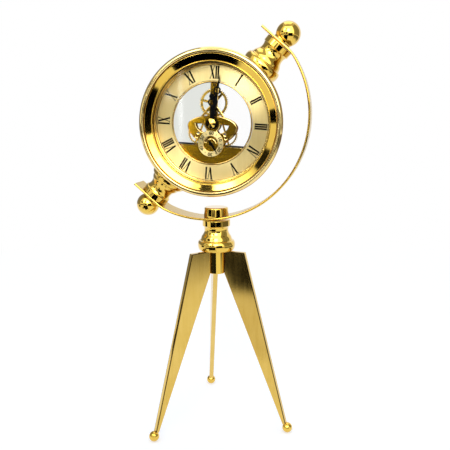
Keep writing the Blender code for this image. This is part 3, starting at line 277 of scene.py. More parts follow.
# Near-black gold for the chamfers along a leg's outer slope: a painted dark reflection, not the metal's
# colour.
LEG_PAINTED_DARK = polished_gold(
    "gold_leg_painted_dark", light=(0.13, 0.075, 0.008), dark=(0.09, 0.05, 0.005), rough=(0.12, 0.2), coat=0.2)
BAND = brushed_metal(
    "gold_band", light=(0.66, 0.47, 0.16), dark=(0.58, 0.40, 0.12), grain=(500, 60, 500),
    rough=(0.18, 0.28), strength=0.06)
DIAL = brushed_metal(
    "dial_champagne", light=(0.96, 0.78, 0.35), dark=(0.88, 0.69, 0.28), grain=(1500, 1500, 60),
    rough=(0.34, 0.42), strength=0.10, turn=(0, DIAL_ROLL, 0), metallic=0.95, rings=0.8)
BRASS = brushed_metal(
    "brass_plate", light=(0.72, 0.41, 0.014), dark=(0.54, 0.29, 0.008), grain=(90, 1200, 1200),
    rough=(0.10, 0.18), strength=0.06)
WHEEL = brushed_metal(
    "brass_wheel", light=(0.82, 0.55, 0.10), dark=(0.70, 0.44, 0.06), grain=(1400, 1400, 1400),
    rough=(0.12, 0.22), strength=0.08)
STEEL = brushed_metal(
    "steel_turned", light=(0.60, 0.60, 0.58), dark=(0.46, 0.46, 0.45), grain=(900, 900, 900),
    rough=(0.16, 0.28), strength=0.1)
BLACK = lacquer(
    "black_lacquer", base=(0.0015, 0.0015, 0.0015), rough=(0.20, 0.30), grain=2600, strength=0.08,
    specular=0.025)
INK = lacquer(
    "black_print", base=(0.002, 0.002, 0.002), rough=(0.45, 0.6), grain=4000, strength=0.06, specular=0.02)
PLASTIC = lacquer("black_plastic", base=(0.010, 0.010, 0.011), rough=(0.38, 0.55), grain=3000, strength=0.25)
WRAP = lacquer("cell_wrap", base=(0.06, 0.06, 0.07), rough=(0.25, 0.4), grain=900, strength=0.06, coat=0.3)
GLASS = clear_sheet("glass_front", ior=1.22, rough=0.01)
REAR = clear_sheet("rear_clear", ior=1.10, rough=0.02, left_grey=(0.885, 0.893, 0.868))


# Mesh helpers
CUT_SHARE = 0.45


def fillet(points, closed=False, steps=4):
    """Rounds the corners of a profile. A corner is (radius, height) or (radius, height, rounding)."""
    result = []
    count = len(points)
    for index, point in enumerate(points):
        here = Vector(point[:2])
        if len(point) == 2 or (not closed and index in (0, count - 1)):
            result.append(here)
            continue
        to_before = Vector(points[index - 1][:2]) - here
        to_after = Vector(points[(index + 1) % count][:2]) - here
        half = to_before.angle(to_after) / 2
        longest_cut = min(to_before.length, to_after.length) * CUT_SHARE
        cut = min(point[2] / math.tan(half), longest_cut)
        radius = cut * math.tan(half)
        middle = (to_before.normalized() + to_after.normalized()).normalized()
        centre = here + middle * (radius / math.sin(half))
        start = here + to_before.normalized() * cut - centre
        end = here + to_after.normalized() * cut - centre
        turn = start.angle_signed(end)
        for step in range(steps + 1):
            result.append(centre + Matrix.Rotation(-turn * step / steps, 2) @ start)
    return result


def curve(points, per):
    """Smooth line through the points, with per steps from each to the next."""
    ends = [2 * Vector(points[0]) - Vector(points[1])] + [Vector(p) for p in points]
    ends.append(2 * ends[-1] - ends[-2])
    result = [Vector(points[0])]
    for i in range(1, len(ends) - 2):
        a, b, c, d = ends[i - 1:i + 3]
        for step in range(1, per + 1):
            t = step / per
            result.append(0.5 * ((2 * b) + (c - a) * t + (2 * a - 5 * b + 4 * c - d) * t * t
                                 + (3 * b - a - 3 * c + d) * t ** 3))
    return result


def shifted(points, radius, height=0.0):
    """The points of a table that gives them from a radius and a height."""
    return [(radius + r, height + z) for r, z in points]


def ball_arc(radius, middle, start, steps):
    """Outline of a ball from an angle up to its top. middle is its centre's height."""
    angles = [start + (math.pi / 2 - start) * s / steps for s in range(steps)]
    return [(radius * math.cos(a), middle + radius * math.sin(a)) for a in angles] + [(0, middle + radius)]


def linked(name, data):
    """A new object in the scene."""
    item = bpy.data.objects.new(name, data)
    bpy.context.scene.collection.objects.link(item)
    return item


def mesh_of(name, bm):
    """Turns a bmesh into a mesh."""
    mesh = bpy.data.meshes.new(name)
    bm.to_mesh(mesh)
    bm.free()
    return mesh


def add_shape(bm, shape, place=None):
    """Adds a text's or curve's filled faces to a bmesh."""
    item = linked("shape", shape)
    bpy.context.view_layer.update()
    mesh = bpy.data.meshes.new_from_object(item)
    if place is not None:
        mesh.transform(place)
    bm.from_mesh(mesh)
    bpy.data.objects.remove(item)
    bpy.data.meshes.remove(mesh)


def finish_mesh(name, bm, place, materials, body, replaced=(), slot=None, weighted=True):
    """Makes a piece of a bmesh, sets it in its place and lets it ride on a body."""
    bmesh.ops.recalc_face_normals(bm, faces=bm.faces)
    mesh = mesh_of(name, bm)
    mesh.transform(place)
    for material in materials:
        mesh.materials.append(material)
    mesh.shade_smooth()
    mesh.set_sharp_from_angle(angle=SHARP_ANGLE)
    item = linked(name, mesh)
    if weighted:
        item.modifiers.new("normals", "WEIGHTED_NORMAL").keep_sharp = True
    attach(item, body)
    if replaced:
        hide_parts(*replaced)


def spun(points, steps, closed=False, drop=None):
    """Surface of revolution about z. drop may move each of its points."""
    bm = bmesh.new()
    rows = []
    for radius, height in points:
        if radius < MERGE:
            rows.append([bm.verts.new((0, 0, height))])
            continue
        row = []
        for step in range(steps):
            angle = math.tau * step / steps
            spot = Vector((radius * math.cos(angle), radius * math.sin(angle), height))
            row.append(bm.verts.new(drop(spot) if drop else spot))
        rows.append(row)
    pairs = list(zip(rows, rows[1:])) + ([(rows[-1], rows[0])] if closed else [])
    for below, above in pairs:
        for step in range(steps):
            after = (step + 1) % steps
            face = [below[step % len(below)], below[after % len(below)],
                    above[after % len(above)], above[step % len(above)]]
            face = [v for i, v in enumerate(face) if v not in face[:i]]
            if len(face) > 2:
                bm.faces.new(face)
    return bm


def turned(name, points, place, material, body, steps=ROUND_POST, closed=False, **rest):
    """A turned piece."""
    finish_mesh(name, spun(points, steps, closed), place, [material], body, **rest)


def prism(bm, outline, low, high):
    """Adds a straight-sided block over an outline."""
    below = [bm.verts.new((x, y, low)) for x, y in outline]
    above = [bm.verts.new((x, y, high)) for x, y in outline]
    bm.faces.new(below[::-1])
    bm.faces.new(above)
    for i in range(len(outline)):
        j = (i + 1) % len(outline)
        bm.faces.new((below[i], below[j], above[j], above[i]))


def on_trunnion(sign, distance):
    """Place on the tilt axis at a distance from the clock's centre, with z pointing outwards."""
    way = Vector((sign * TRUNNION.x, sign * TRUNNION.z, 0))
    return CLOCK_AT @ Matrix.Translation(way * distance) @ way.to_track_quat("Z", "Y").to_matrix().to_4x4()


# Turned posts. Their points are (radius, height over the foot), some with a rounding
POST_FOOT_R = 0.0131
STUD_IN = 0.0080
FLANGE = ((0.0134, 0.0001), (0.01445, 0.0009), (0.0151, 0.0034), (0.0150, 0.0060), (0.0142, 0.0078),
          (0.0134, 0.0082))
FLANGE_STEP = ((0.0131, 0.0083), (0.0130, 0.0084), (0.0130, 0.0087, 0.0002), (0.0127, 0.0090))
FLARE = ((0.0127, 0.0090), (0.0119, 0.0113), (0.01045, 0.0136), (0.0097, 0.0160), (0.00985, 0.0182),
         (0.0104, 0.0195))
COLLAR = ((0.0107, 0.0199), (POST_COLLAR_R, 0.0201, 0.0003), (POST_COLLAR_R, POST_LEN, 0.0004),
          (STUD_BORE_R, POST_LEN))


def post_profile():
    """Turned post with a bore for a spigot in its foot and one for a stud in its head."""
    spigot_bore_r = SPIGOT_R + GAP
    spigot_bore_h = SPIGOT_H + GAP
    stud_bore_z = POST_LEN - STUD_IN - GAP
    points = [(0, spigot_bore_h), (spigot_bore_r, spigot_bore_h), (spigot_bore_r, 0), (POST_FOOT_R, 0)]
    points += curve(FLANGE, 6)
    points += fillet(FLANGE_STEP)
    points += curve(FLARE, 6)[1:]
    points += fillet(COLLAR)
    return points + [(STUD_BORE_R, stud_bore_z), (0, stud_bore_z)]


POST = post_profile()
turned("pedestal_post_turned", POST, STAND_AT @ Matrix.Translation((0, 0, LEG_TOP_Z + GAP)), GOLD,
       "stand", replaced=["pedestal_post"], slot="polished_gold")
for sign, side in SIDES:
    turned(f"post_{side}_turned", POST, on_trunnion(sign, DRUM_R + GAP), GOLD, "clock",
           replaced=[f"post_{side}"], slot="polished_gold")

# Ball finials, which clamp the band's ends
FINIAL_R = 0.0093
FINIAL_NECK_R = 0.0073
FINIAL_NECK_H = 0.0009
FINIAL_FOOT_H = 0.0004
FINIAL_BORE_H = 0.0088
FINIAL_EASE = 0.0001


def finial_profile():
    """Ball on a low neck, with a stepped foot and a bore for the stud."""
    rise = math.sqrt(FINIAL_R ** 2 - FINIAL_NECK_R ** 2)
    points = [(0, FINIAL_BORE_H), (STUD_BORE_R, FINIAL_BORE_H), (STUD_BORE_R, -FINIAL_FOOT_H),
              (FINIAL_NECK_R - 3 * FINIAL_EASE, -FINIAL_FOOT_H), (FINIAL_NECK_R - 2 * FINIAL_EASE, 0),
              (FINIAL_NECK_R - FINIAL_EASE, 0), (FINIAL_NECK_R, FINIAL_EASE)]
    return points + ball_arc(FINIAL_R, FINIAL_NECK_H + rise, -math.asin(rise / FINIAL_R), 40)


for sign, side in SIDES:
    turned(f"finial_{side}_turned", finial_profile(),
           on_trunnion(sign, BAND_SEAT + BAND_T + GAP + FINIAL_FOOT_H), GOLD, "clock",
           replaced=[f"finial_{side}"], slot="polished_gold")

# Stand
HUB_R = 0.0073
HUB_H = 0.0188
HUB_EDGE = 0.0006
HUB_TOP_EDGE = 0.0002
SPIGOT_EDGE = 0.0003
FOOT_CIRCLE_R = 0.0623
FOOT_R = 0.0041
FOOT_FLAT_H = 0.0004
FOOT_Z = FOOT_R - FOOT_FLAT_H
LEG_TOP_R = 0.0248
LEG_T = 0.0040
LEG_TIP_W = 0.0029
LEG_TIP_INSET = 0.0021
LEG_TIP_RISE = 0.0026
LEG_EDGE = 0.00065
SQUARE_TO_SIDE = 0.999
ALMOST_IN_SIDE = 0.1
OUTWARD = 0.05
LEGS =(("rear", math.radians(90)), ("left", math.radians(210)), ("right", math.radians(330)))


def build_hub():
    """Round hub with a spigot for the pedestal post."""
    bottom = LEG_TOP_Z - HUB_H
    top = LEG_TOP_Z + SPIGOT_H
    points = fillet([(0, bottom), (HUB_R, bottom, HUB_EDGE), (HUB_R, LEG_TOP_Z, HUB_TOP_EDGE),
                     (SPIGOT_R, LEG_TOP_Z), (SPIGOT_R, top, SPIGOT_EDGE), (0, top)])
    turned("hub_turned", points, STAND_AT, GOLD, "stand", replaced=["stand_hub"], slot="polished_gold")


def build_leg(side, angle):
    """Flat tapered leg with broken edges. Those along its outer slope get a near-black gold, a painted dark
    reflection.
    """
    tip_r = FOOT_CIRCLE_R - LEG_TIP_INSET
    tip_z = FOOT_Z + LEG_TIP_RISE
    outline = [(HUB_R + GAP, LEG_TOP_Z), (HUB_R + GAP, LEG_TOP_Z - HUB_H), (tip_r - LEG_TIP_W / 2, tip_z),
               (tip_r + LEG_TIP_W / 2, tip_z), (LEG_TOP_R, LEG_TOP_Z)]
    bm = bmesh.new()
    prism(bm, outline, -LEG_T / 2, LEG_T / 2)
    bmesh.ops.recalc_face_normals(bm, faces=bm.faces)
    bmesh.ops.bevel(bm, geom=list(bm.edges), offset=LEG_EDGE, segments=2, profile=0.6, affect="EDGES")
    outer_way = Vector((LEG_TOP_Z - tip_z, tip_r - LEG_TOP_R)).normalized()
    for face in bm.faces:
        flat = abs(face.normal.z)
        face.material_index = 0 if flat > SQUARE_TO_SIDE else 1
        # Chamfers along the outer slope take the near-black gold, a painted dark reflection.
        if ALMOST_IN_SIDE < flat < SQUARE_TO_SIDE and face.normal.xy.dot(outer_way) > OUTWARD:
            face.material_index = 2
    finish_mesh(f"leg_{side}_plate", bm, STAND_AT @ Matrix.Rotation(angle, 4, "Z") @ FACING,
                [LEG, SIDE, LEG_PAINTED_DARK], "stand", replaced=[f"leg_{side}"], slot="satin_gold")


def build_foot(side, angle):
    """Ball foot with a flat underneath."""
    points = [(0, -FOOT_Z)] + ball_arc(FOOT_R, 0, -math.asin(FOOT_Z / FOOT_R), 32)
    place = STAND_AT @ Matrix.Rotation(angle, 4, "Z") @ Matrix.Translation((FOOT_CIRCLE_R, 0, FOOT_Z))
    turned(f"foot_{side}_ball", points, place, GOLD, "stand", ROUND_SMALL, replaced=[f"foot_{side}"],
           slot="polished_gold")


build_hub()
for side, angle in LEGS:
    build_leg(side, angle)
    build_foot(side, angle)

# Bracket
CAP_NUT_R = 0.0100
CAP_NUT_TOP_R = 0.00945
CAP_NUT_SKIRT_H = 0.0016
CAP_NUT_H = 0.0078
CAP_NUT_ROUND = 0.0013
CAP_NUT_SEAT = 0.0002
STUD_OUT = 0.0060
BAND_W = 0.0203
BAND_CORNER = 0.0008
BAND_STEPS = 180
ARC_TAIL = math.radians(12.3)
BEND_EASE = 0.0010


def build_cap_nut():
    """Domed nut whose lower edge lies on the band's curve."""
    base = ARC_CENTRE.z - math.sqrt(ARC_IN_R ** 2 - (AXIS.x - ARC_CENTRE.x) ** 2)
    bottom = ARC_CENTRE.z - ARC_IN_R + CAP_NUT_SEAT
    bore_z = base + STUD_OUT + GAP
    top = base + CAP_NUT_H
    points = fillet([(0, bore_z), (STUD_BORE_R, bore_z), (STUD_BORE_R, bottom), (CAP_NUT_R, bottom),
                     (CAP_NUT_R, base + CAP_NUT_SKIRT_H), (CAP_NUT_TOP_R, top, CAP_NUT_ROUND), (0, top)],
                    steps=6)

    def seat(spot):
        if abs(spot.z - bottom) < MERGE:
            away = AXIS.x - ARC_CENTRE.x + spot.x
            spot.z = ARC_CENTRE.z - math.sqrt((ARC_IN_R - GAP) ** 2 - away ** 2)
        return spot

    finish_mesh("cap_nut_turned", spun(points, ROUND_POST, drop=seat), Matrix.Translation(AXIS), [GOLD],
                "bracket", replaced=["cap_nut"], slot="polished_gold")


def flattened(spot, height):
    """Moves a point of the band to the flat seat under a finial, if it lies beyond it.

    height is the point's height over the band's inner face.
    """
    reach = (spot - (CENTRE - ARC_CENTRE)).dot(TRUNNION)
    limit = BAND_SEAT + height
    short = max(BEND_EASE - abs(abs(reach) - limit), 0) ** 2 / (4 * BEND_EASE)
    return spot - TRUNNION * (reach - math.copysign(min(abs(reach), limit) - short, reach))


def build_band():
    """Bent strip with rounded corners. Its broad faces are satin, its edges polished."""
    half = math.pi / 2 - math.asin(ARC_OFFSET / (ARC_IN_R + BAND_T / 2)) + ARC_TAIL
    side = BAND_W / 2
    corners = ((ARC_IN_R, -side), (ARC_OUT_R, -side), (ARC_OUT_R, side), (ARC_IN_R, side))
    section = fillet([(*corner, BAND_CORNER) for corner in corners], True, 6)
    bm = bmesh.new()
    rows = []
    for step in range(BAND_STEPS + 1):
        angle = -TRUNNION_LEAN - half + 2 * half * step / BAND_STEPS
        row = []
        for radius, across in section:
            spot = Vector((radius * math.cos(angle), across, radius * math.sin(angle)))
            row.append(bm.verts.new(flattened(spot, radius - ARC_IN_R)))
        rows.append(row)
    for below, above in zip(rows, rows[1:]):
        for i, point in enumerate(section):
            j = (i + 1) % len(section)
            face = bm.faces.new((below[i], below[j], above[j], above[i]))
            face.material_index = 0 if (point - section[j]).length > side else 1
    for row in (rows[0], rows[-1]):
        bm.faces.new(row).material_index = 1
    finish_mesh("band_strip", bm, Matrix.Translation(ARC_CENTRE), [BAND, GOLD], "bracket",
                replaced=["arc_band"], slot="satin_gold")


build_cap_nut()
build_band()

# Case, bezel, glass and spacer ring
CASE_BACK = 0.0150
CASE_EDGE = 0.0004
CASE_INNER_EDGE = 0.0003
BEZEL_SEAT = 0.0162
BEZEL_SKIRT = 0.0130
RABBET = 0.0011
RABBET_R = APERTURE_R + RABBET
LEDGE_W = 0.0015
LEDGE_T = 0.0009
LEDGE_BACK = 0.0119
GLASS_R = RABBET_R - GAP
GLASS_FRONT = 0.0158
GLASS_T = 0.0015
GLASS_EASE = 0.0002
SPACER_STEP = 0.0002
SPACER_R = APERTURE_R - SPACER_STEP
SPACER_FOOT = DIAL_FRONT + GAP
DIAL_TRIM_W = 0.0017
DIAL_TRIM_T = 0.0010
DIAL_EDGE_R = SPACER_R - DIAL_TRIM_W
LIP_HEAD = 0.0177
LIP_FOOT = 0.0151
# The lip is given from the drum's radius, the bezel's rim and cone from its outer radius, its bead from
# the aperture's radius, and the spacer's edge from the dial's edge and the spacer's foot
LIP = ((0, 0.0180), (0.00015, 0.01885), (0.0006, 0.01945), (0.0013, 0.0197), (0.0025, 0.0195),
       (0.0036, 0.0185), (0.0041, 0.0172), (0.0035, 0.0160), (0.0020, 0.0154), (0.0006, LIP_FOOT))
LIP_END = ((0.0001, 0.0148), (0, 0.0146))
BEZEL_RIM = ((0, 0.0165), (0, 0.0173), (-0.0003, 0.0176), (-0.0003, 0.0186))
BEZEL_CONE = ((-0.00030, 0.01880), (-0.00045, 0.01888), (-0.0007, 0.01882), (-0.0022, 0.01814),
              (-0.0036, 0.01751), (-0.0049, 0.01692), (-0.00515, 0.01675))
BEZEL_BEAD = ((0.0008, 0.01672), (0.0006, 0.01695), (0.00035, 0.01700), (0.0001, 0.01688), (0, 0.0166))
SPACER_EDGE = ((0.0001, 0.0002), (0.0006, 0.0008), (0.0012, 0.0009), (0.0016, 0.0007))


def build_drum():
    """Drum with a rolled lip and a ledge for the rear panel."""
    ledge_r = DRUM_IN_R - LEDGE_W
    ledge_front = -LEDGE_BACK + LEDGE_T
    points = [(DRUM_IN_R, BEZEL_SEAT), (DRUM_R, BEZEL_SEAT), (DRUM_R, LIP_HEAD)]
    points += curve(shifted(LIP, DRUM_R), 6)
    points += fillet([*shifted(LIP_END, DRUM_R), (DRUM_R, -CASE_BACK, CASE_EDGE),
                      (DRUM_IN_R, -CASE_BACK, CASE_INNER_EDGE), (DRUM_IN_R, -LEDGE_BACK),
                      (ledge_r, -LEDGE_BACK), (ledge_r, ledge_front), (DRUM_IN_R, ledge_front)])
    bm = spun(points, ROUND_CASE, True)
    for face in bm.faces:
        # The lip takes the paler gold_rim: the drum's own polished gold made paler, a painted highlight.
        face.material_index = 1 if face.calc_center_median().z > LIP_FOOT else 0
    finish_mesh("case_drum_spun", bm, CLOCK_AT, [GOLD, RIM], "clock", replaced=["case_drum"],
                slot="polished_gold")


def build_bezel():
    """Conical bezel with a bead round the glass and a skirt inside the drum."""
    outer = DRUM_R - GAP
    rabbet_z = GLASS_FRONT + GAP
    points = shifted(BEZEL_RIM, outer)
    points += curve(shifted(BEZEL_CONE, outer), 6)
    points += curve(shifted(BEZEL_BEAD, APERTURE_R), 4)
    points += [(APERTURE_R, rabbet_z), (RABBET_R, rabbet_z), (RABBET_R, BEZEL_SKIRT),
               (INSERT_R, BEZEL_SKIRT), (INSERT_R, BEZEL_SEAT + GAP)]
    turned("bezel_spun", points, CLOCK_AT, GOLD, "clock", ROUND_CASE, True, replaced=["bezel"],
           slot="polished_gold")


def build_glass():
    """Flat glass with eased edges."""
    back = GLASS_FRONT - GLASS_T
    points = fillet([(0, back), (GLASS_R, back, GLASS_EASE), (GLASS_R, GLASS_FRONT, GLASS_EASE),
                     (0, GLASS_FRONT)])
    turned("glass_disc", points, CLOCK_AT, GLASS, "clock", ROUND_GLASS, replaced=["front_glass"],
           slot="mineral_glass")


def build_spacer():
    """Ring between glass and dial, with a rounded edge over the dial."""
    top = GLASS_FRONT - GLASS_T - GAP
    step = BEZEL_SKIRT - GAP
    points = [(SPACER_R, SPACER_FOOT + DIAL_TRIM_T), (SPACER_R, top), (GLASS_R, top), (GLASS_R, step),
              (INSERT_R, step), (INSERT_R, SPACER_FOOT), (DIAL_EDGE_R, SPACER_FOOT)]
    points += curve(shifted(SPACER_EDGE, DIAL_EDGE_R, SPACER_FOOT), 4)
    turned("rehaut_spun", points, CLOCK_AT, RIM, "clock", ROUND_CASE, True, replaced=["spacer_ring"],
           slot="polished_gold")


build_drum()
build_bezel()
build_glass()
build_spacer()

# Dial, opening rim, seconds dial and hand cap
DIAL_T = 0.0008
DIAL_BACK = DIAL_FRONT - DIAL_T
DIAL_EASE = 0.0001
DIAL_BAND_W = 0.0129
OPENING_R = DIAL_EDGE_R - DIAL_BAND_W
OPENING_RIM_W = 0.0012
# The rim's bead, from its middle and the dial's face
RIM_BEAD = ((0.0006, 0.0001), (0.00035, 0.0005), (0, 0.0006), (-0.00035, 0.0005), (-0.0006, 0.0001))
SECONDS_DIAL_R = 0.0100
SECONDS_DIAL_IN_R = 0.0060
SECONDS_DIAL_FRONT = 0.0089
SECONDS_DIAL_T = 0.0006
SECONDS_DIAL_EASE = 0.00015
HOUR_HAND_FRONT = 0.0106
MINUTE_HAND_FRONT = 0.0116
CAP_R = 0.0037
CAP_RIM_H = 0.0004
CAP_CROWN_R = 0.0006
CAP_CROWN_H = 0.0017
CAP_H = 0.0018
CAP_BORE_H = 0.0008
CAP_FOOT_EASE = 0.0001
CAP_RIM_EASE = 0.0002
CAP_CROWN_EASE = 0.0006


def build_dial():
    """Flat dial ring with eased front edges."""
    inner = OPENING_R + OPENING_RIM_W + GAP
    points = fillet([(inner, DIAL_BACK), (INSERT_R, DIAL_BACK), (INSERT_R, DIAL_FRONT, DIAL_EASE),
                     (inner, DIAL_FRONT, DIAL_EASE)], True)
    turned("dial_plate", points, DIAL_AT, DIAL, "clock", ROUND_CASE, True, replaced=["dial_ring"],
           slot="champagne_dial")


def build_seconds_dial():
    """Small flat ring with eased front edges."""
    back = SECONDS_DIAL_FRONT - SECONDS_DIAL_T
    points = fillet([(SECONDS_DIAL_IN_R, back), (SECONDS_DIAL_R, back),
                     (SECONDS_DIAL_R, SECONDS_DIAL_FRONT, SECONDS_DIAL_EASE),
                     (SECONDS_DIAL_IN_R, SECONDS_DIAL_FRONT, SECONDS_DIAL_EASE)], True)
    turned("seconds_plate", points, SECONDS_AT, DIAL, "clock", ROUND_SECONDS, True,
           replaced=["seconds_dial"], slot="champagne_dial")


def build_opening_rim():
    """Beaded rim of the dial's opening."""
    outer = OPENING_R + OPENING_RIM_W
    points = [(OPENING_R, DIAL_BACK), (outer, DIAL_BACK), (outer, DIAL_FRONT)]
    points += curve(shifted(RIM_BEAD, OPENING_R + OPENING_RIM_W / 2, DIAL_FRONT), 4)
    turned("opening_rim_spun", points, DIAL_AT, EDGE, "clock", ROUND_CASE, True, replaced=["opening_rim"],
           slot="polished_gold")


def build_hand_cap():
    """Low domed cap over the hands, with a bore for the centre arbor."""
    base = MINUTE_HAND_FRONT + GAP
    points = [(0, base + CAP_BORE_H), (HAND_BORE_R, base + CAP_BORE_H), (HAND_BORE_R, base)]
    points += fillet([(HAND_BORE_R, base), (CAP_R, base, CAP_FOOT_EASE),
                      (CAP_R, base + CAP_RIM_H, CAP_RIM_EASE),
                      (CAP_CROWN_R, base + CAP_CROWN_H, CAP_CROWN_EASE), (0, base + CAP_H)])[1:]
    turned("hand_cap_turned", points, DIAL_AT, GOLD, "minute_hand_body", ROUND_SMALL,
           replaced=["hand_cap"], slot="polished_gold")


build_dial()
build_opening_rim()
build_seconds_dial()
build_hand_cap()

# Numerals, printed on the dial in layers of slightly different height
THICK = 0.00125
THIN = 0.00046
BAR = 0.00038
NUMERAL_H = 0.0091
NUMERAL_FOOT_R = 0.0335
LETTER_MARGIN = 0.0008
LETTER_W = {"I": 0.00162, "V": 0.0045, "X": 0.0044}
SERIF_I = 0.00078
SERIF_THICK = 0.0010
SERIF_THIN = 0.0007
INK_LIFT = 0.00002
INK_T = 0.00006
INK_LAYER = 0.000005
SERIF_LAYER = 0.0000015
HOURS = ("I", "II", "III", "IV", "V", "VI", "VII", "VIII", "IX", "X", "XI", "XII")


def stroke(bm, a, b, width, base, top):
    """A straight stroke between two points."""
    a, b = Vector(a), Vector(b)
    side = (b - a).normalized().orthogonal() * (width / 2)
    prism(bm, [a + side, b + side, b - side, a - side], base, top)


def serif(bm, x, y, half, base, top):
    """A flat serif bar."""
    low_y = y - BAR / 2
    high_y = y + BAR / 2
    prism(bm, [(x - half, low_y), (x + half, low_y), (x + half, high_y), (x - half, high_y)], base, top)


def letter_parts(letter, x, foot, head):
    """Strokes as (start, end, width) and serifs as (x, y, half width) of a letter that begins at x."""
    mid = x + LETTER_W[letter] / 2
    left = x + LETTER_MARGIN
    right = x + LETTER_W[letter] - LETTER_MARGIN
    if letter == "I":
        return [((mid, foot), (mid, head), THICK)], [(mid, foot, SERIF_I), (mid, head, SERIF_I)]
    head_serifs = [(left, head, SERIF_THICK), (right, head, SERIF_THIN)]
    if letter == "V":
        return [((left, head), (mid, foot), THICK), ((right, head), (mid, foot), THIN)], head_serifs
    strokes = [((left, head), (right, foot), THICK), ((right, head), (left, foot), THIN)]
    return strokes, head_serifs + [(left, foot, SERIF_THIN), (right, foot, SERIF_THICK)]


def numeral(bm, text, hour):
    """A roman numeral whose feet point to the dial's centre."""
    base = DIAL_FRONT + INK_LIFT
    foot = NUMERAL_FOOT_R
    x = -sum(LETTER_W[letter] for letter in text) / 2
    work = bmesh.new()
    serif_top = base + INK_T - 2 * INK_LAYER
    for letter in text:
        strokes, serifs = letter_parts(letter, x, foot, foot + NUMERAL_H)
        for start, end, width in strokes:
            stroke(work, start, end, width, base, base + INK_T - (INK_LAYER if width == THIN else 0))
        for at_x, at_y, half in serifs:
            serif_top -= SERIF_LAYER
            serif(work, at_x, at_y, half, base, serif_top)
        x += LETTER_W[letter]
    mesh = mesh_of("numeral", work)
    mesh.transform(Matrix.Rotation(-math.tau * hour / 12, 4, "Z"))
    bm.from_mesh(mesh)
    bpy.data.meshes.remove(mesh)


def build_numerals():
    """The twelve hours."""
    bm = bmesh.new()
    for hour, text in enumerate(HOURS, 1):
        numeral(bm, text, hour)
    finish_mesh("dial_numerals", bm, DIAL_AT, [INK], "clock", weighted=False)


build_numerals()

# Numbers of the seconds dial and the bars between them
NUMBER_SIZE = 0.0037
NUMBER_WEIGHT = 0.00009
NUMBER_R = 0.0080
MARK_IN_R = 0.0074
MARK_OUT_R = 0.0087
MARK_W = 0.00032
SECONDS_INK_T = 0.00004


def seconds_number(bm, text, place):
    """Adds a printed number."""
    word = bpy.data.curves.new("number", "FONT")
    word.body = text
    word.size = NUMBER_SIZE
    word.offset = NUMBER_WEIGHT
    word.extrude = SECONDS_INK_T / 2
    word.align_x = "CENTER"
    word.align_y = "CENTER"
    add_shape(bm, word, place)


def build_seconds_marks():
    """A number at every tenth second and a bar between each two."""
    base = SECONDS_DIAL_FRONT + INK_LIFT
    bm = bmesh.new()
    for step in range(12):
        angle = -math.tau * step / 12
        if step % 2:
            turn = Matrix.Rotation(angle, 2)
            inner_end = turn @ Vector((0, MARK_IN_R))
            outer_end = turn @ Vector((0, MARK_OUT_R))
            stroke(bm, inner_end, outer_end, MARK_W, base, base + SECONDS_INK_T)
        else:
            spot = Matrix.Translation((0, NUMBER_R, base + SECONDS_INK_T / 2))
            seconds_number(bm, str(step * 5 or 60), Matrix.Rotation(angle, 4, "Z") @ spot)
    bmesh.ops.remove_doubles(bm, verts=bm.verts, dist=MERGE)
    finish_mesh("seconds_numbers", bm, SECONDS_AT, [INK], "clock", weighted=False)


build_seconds_marks()

# Hands. Distances are from the hand's axis
HAND_T = 0.0004
HAND_EASE = 0.00005
HAND_POINTS = 240
HAND_LEAST_HALF_W = 0.00002
HAND_RING_R = 0.0029
HAND_RING_HOLE_R = 0.0018
MINUTE_LEN = 0.0365
MINUTE_BOSS_R = 0.0045
MINUTE_RING_AT = 0.0249
MINUTE_WIDTHS = ((0, 0.0013), (0.0225, 0.0010), (0.0275, 0.0009), (MINUTE_LEN, 0.00015))
MINUTE_BEADS = ((0.0166, 0.0021), (0.0208, 0.0014), (MINUTE_RING_AT, HAND_RING_R))
MINUTE_ANGLE = math.radians(7.5)
HOUR_LEN = 0.0256
HOUR_BOSS_R = 0.0041
HOUR_RING_AT = 0.0159
HOUR_WIDTHS = ((0, 0.0012), (0.0140, 0.0010), (0.0210, 0.0008), (HOUR_LEN, 0.00015))
HOUR_BEADS = ((0.0104, 0.0014), (HOUR_RING_AT, HAND_RING_R), (0.0203, 0.0020))
HOUR_ANGLE = math.radians(-2.4)
SECONDS_LEN = 0.0094
SECONDS_TAIL = 0.0032
SECONDS_BOSS_R = 0.0014
SECONDS_BOSS_DEGREES = range(-65, 61, 12)
SECONDS_NECK_AT = SECONDS_BOSS_R * 0.93
SECONDS_TAIL_HALF_W = 0.0005
SECONDS_NECK_HALF_W = 0.00055
SECONDS_ROOT_HALF_W = 0.0007
SECONDS_TIP_HALF_W = 0.00028
SECONDS_HAND_FRONT = 0.0097
SECONDS_ANGLE = math.radians(142.4)


def hole(radius, at):
    """Points of a round hole at a distance along a hand."""
    angles = [math.tau * step / ROUND_HOLE for step in range(ROUND_HOLE)]
    return [(radius * math.cos(a), at + radius * math.sin(a)) for a in angles]


def mirrored(right):
    """Outline of a hand from its right half."""
    return right + [(-x, y) for x, y in right[::-1]]


def hand_outline(length, boss, widths, beads):
    """Outline of a hand along +y. widths are (distance, half width), beads are (distance, radius)."""
    right = []
    for step in range(HAND_POINTS + 1):
        y = -boss + (length + boss) * step / HAND_POINTS
        width = HAND_LEAST_HALF_W
        for (a, wide_a), (b, wide_b) in zip(widths, widths[1:]):
            if a <= y <= b:
                width = wide_a + (wide_b - wide_a) * (y - a) / (b - a)
        for middle, radius in ((0, boss), *beads):
            width = max(width, math.sqrt(max(radius ** 2 - (y - middle) ** 2, 0)))
        right.append((width, y))
    return mirrored(right)


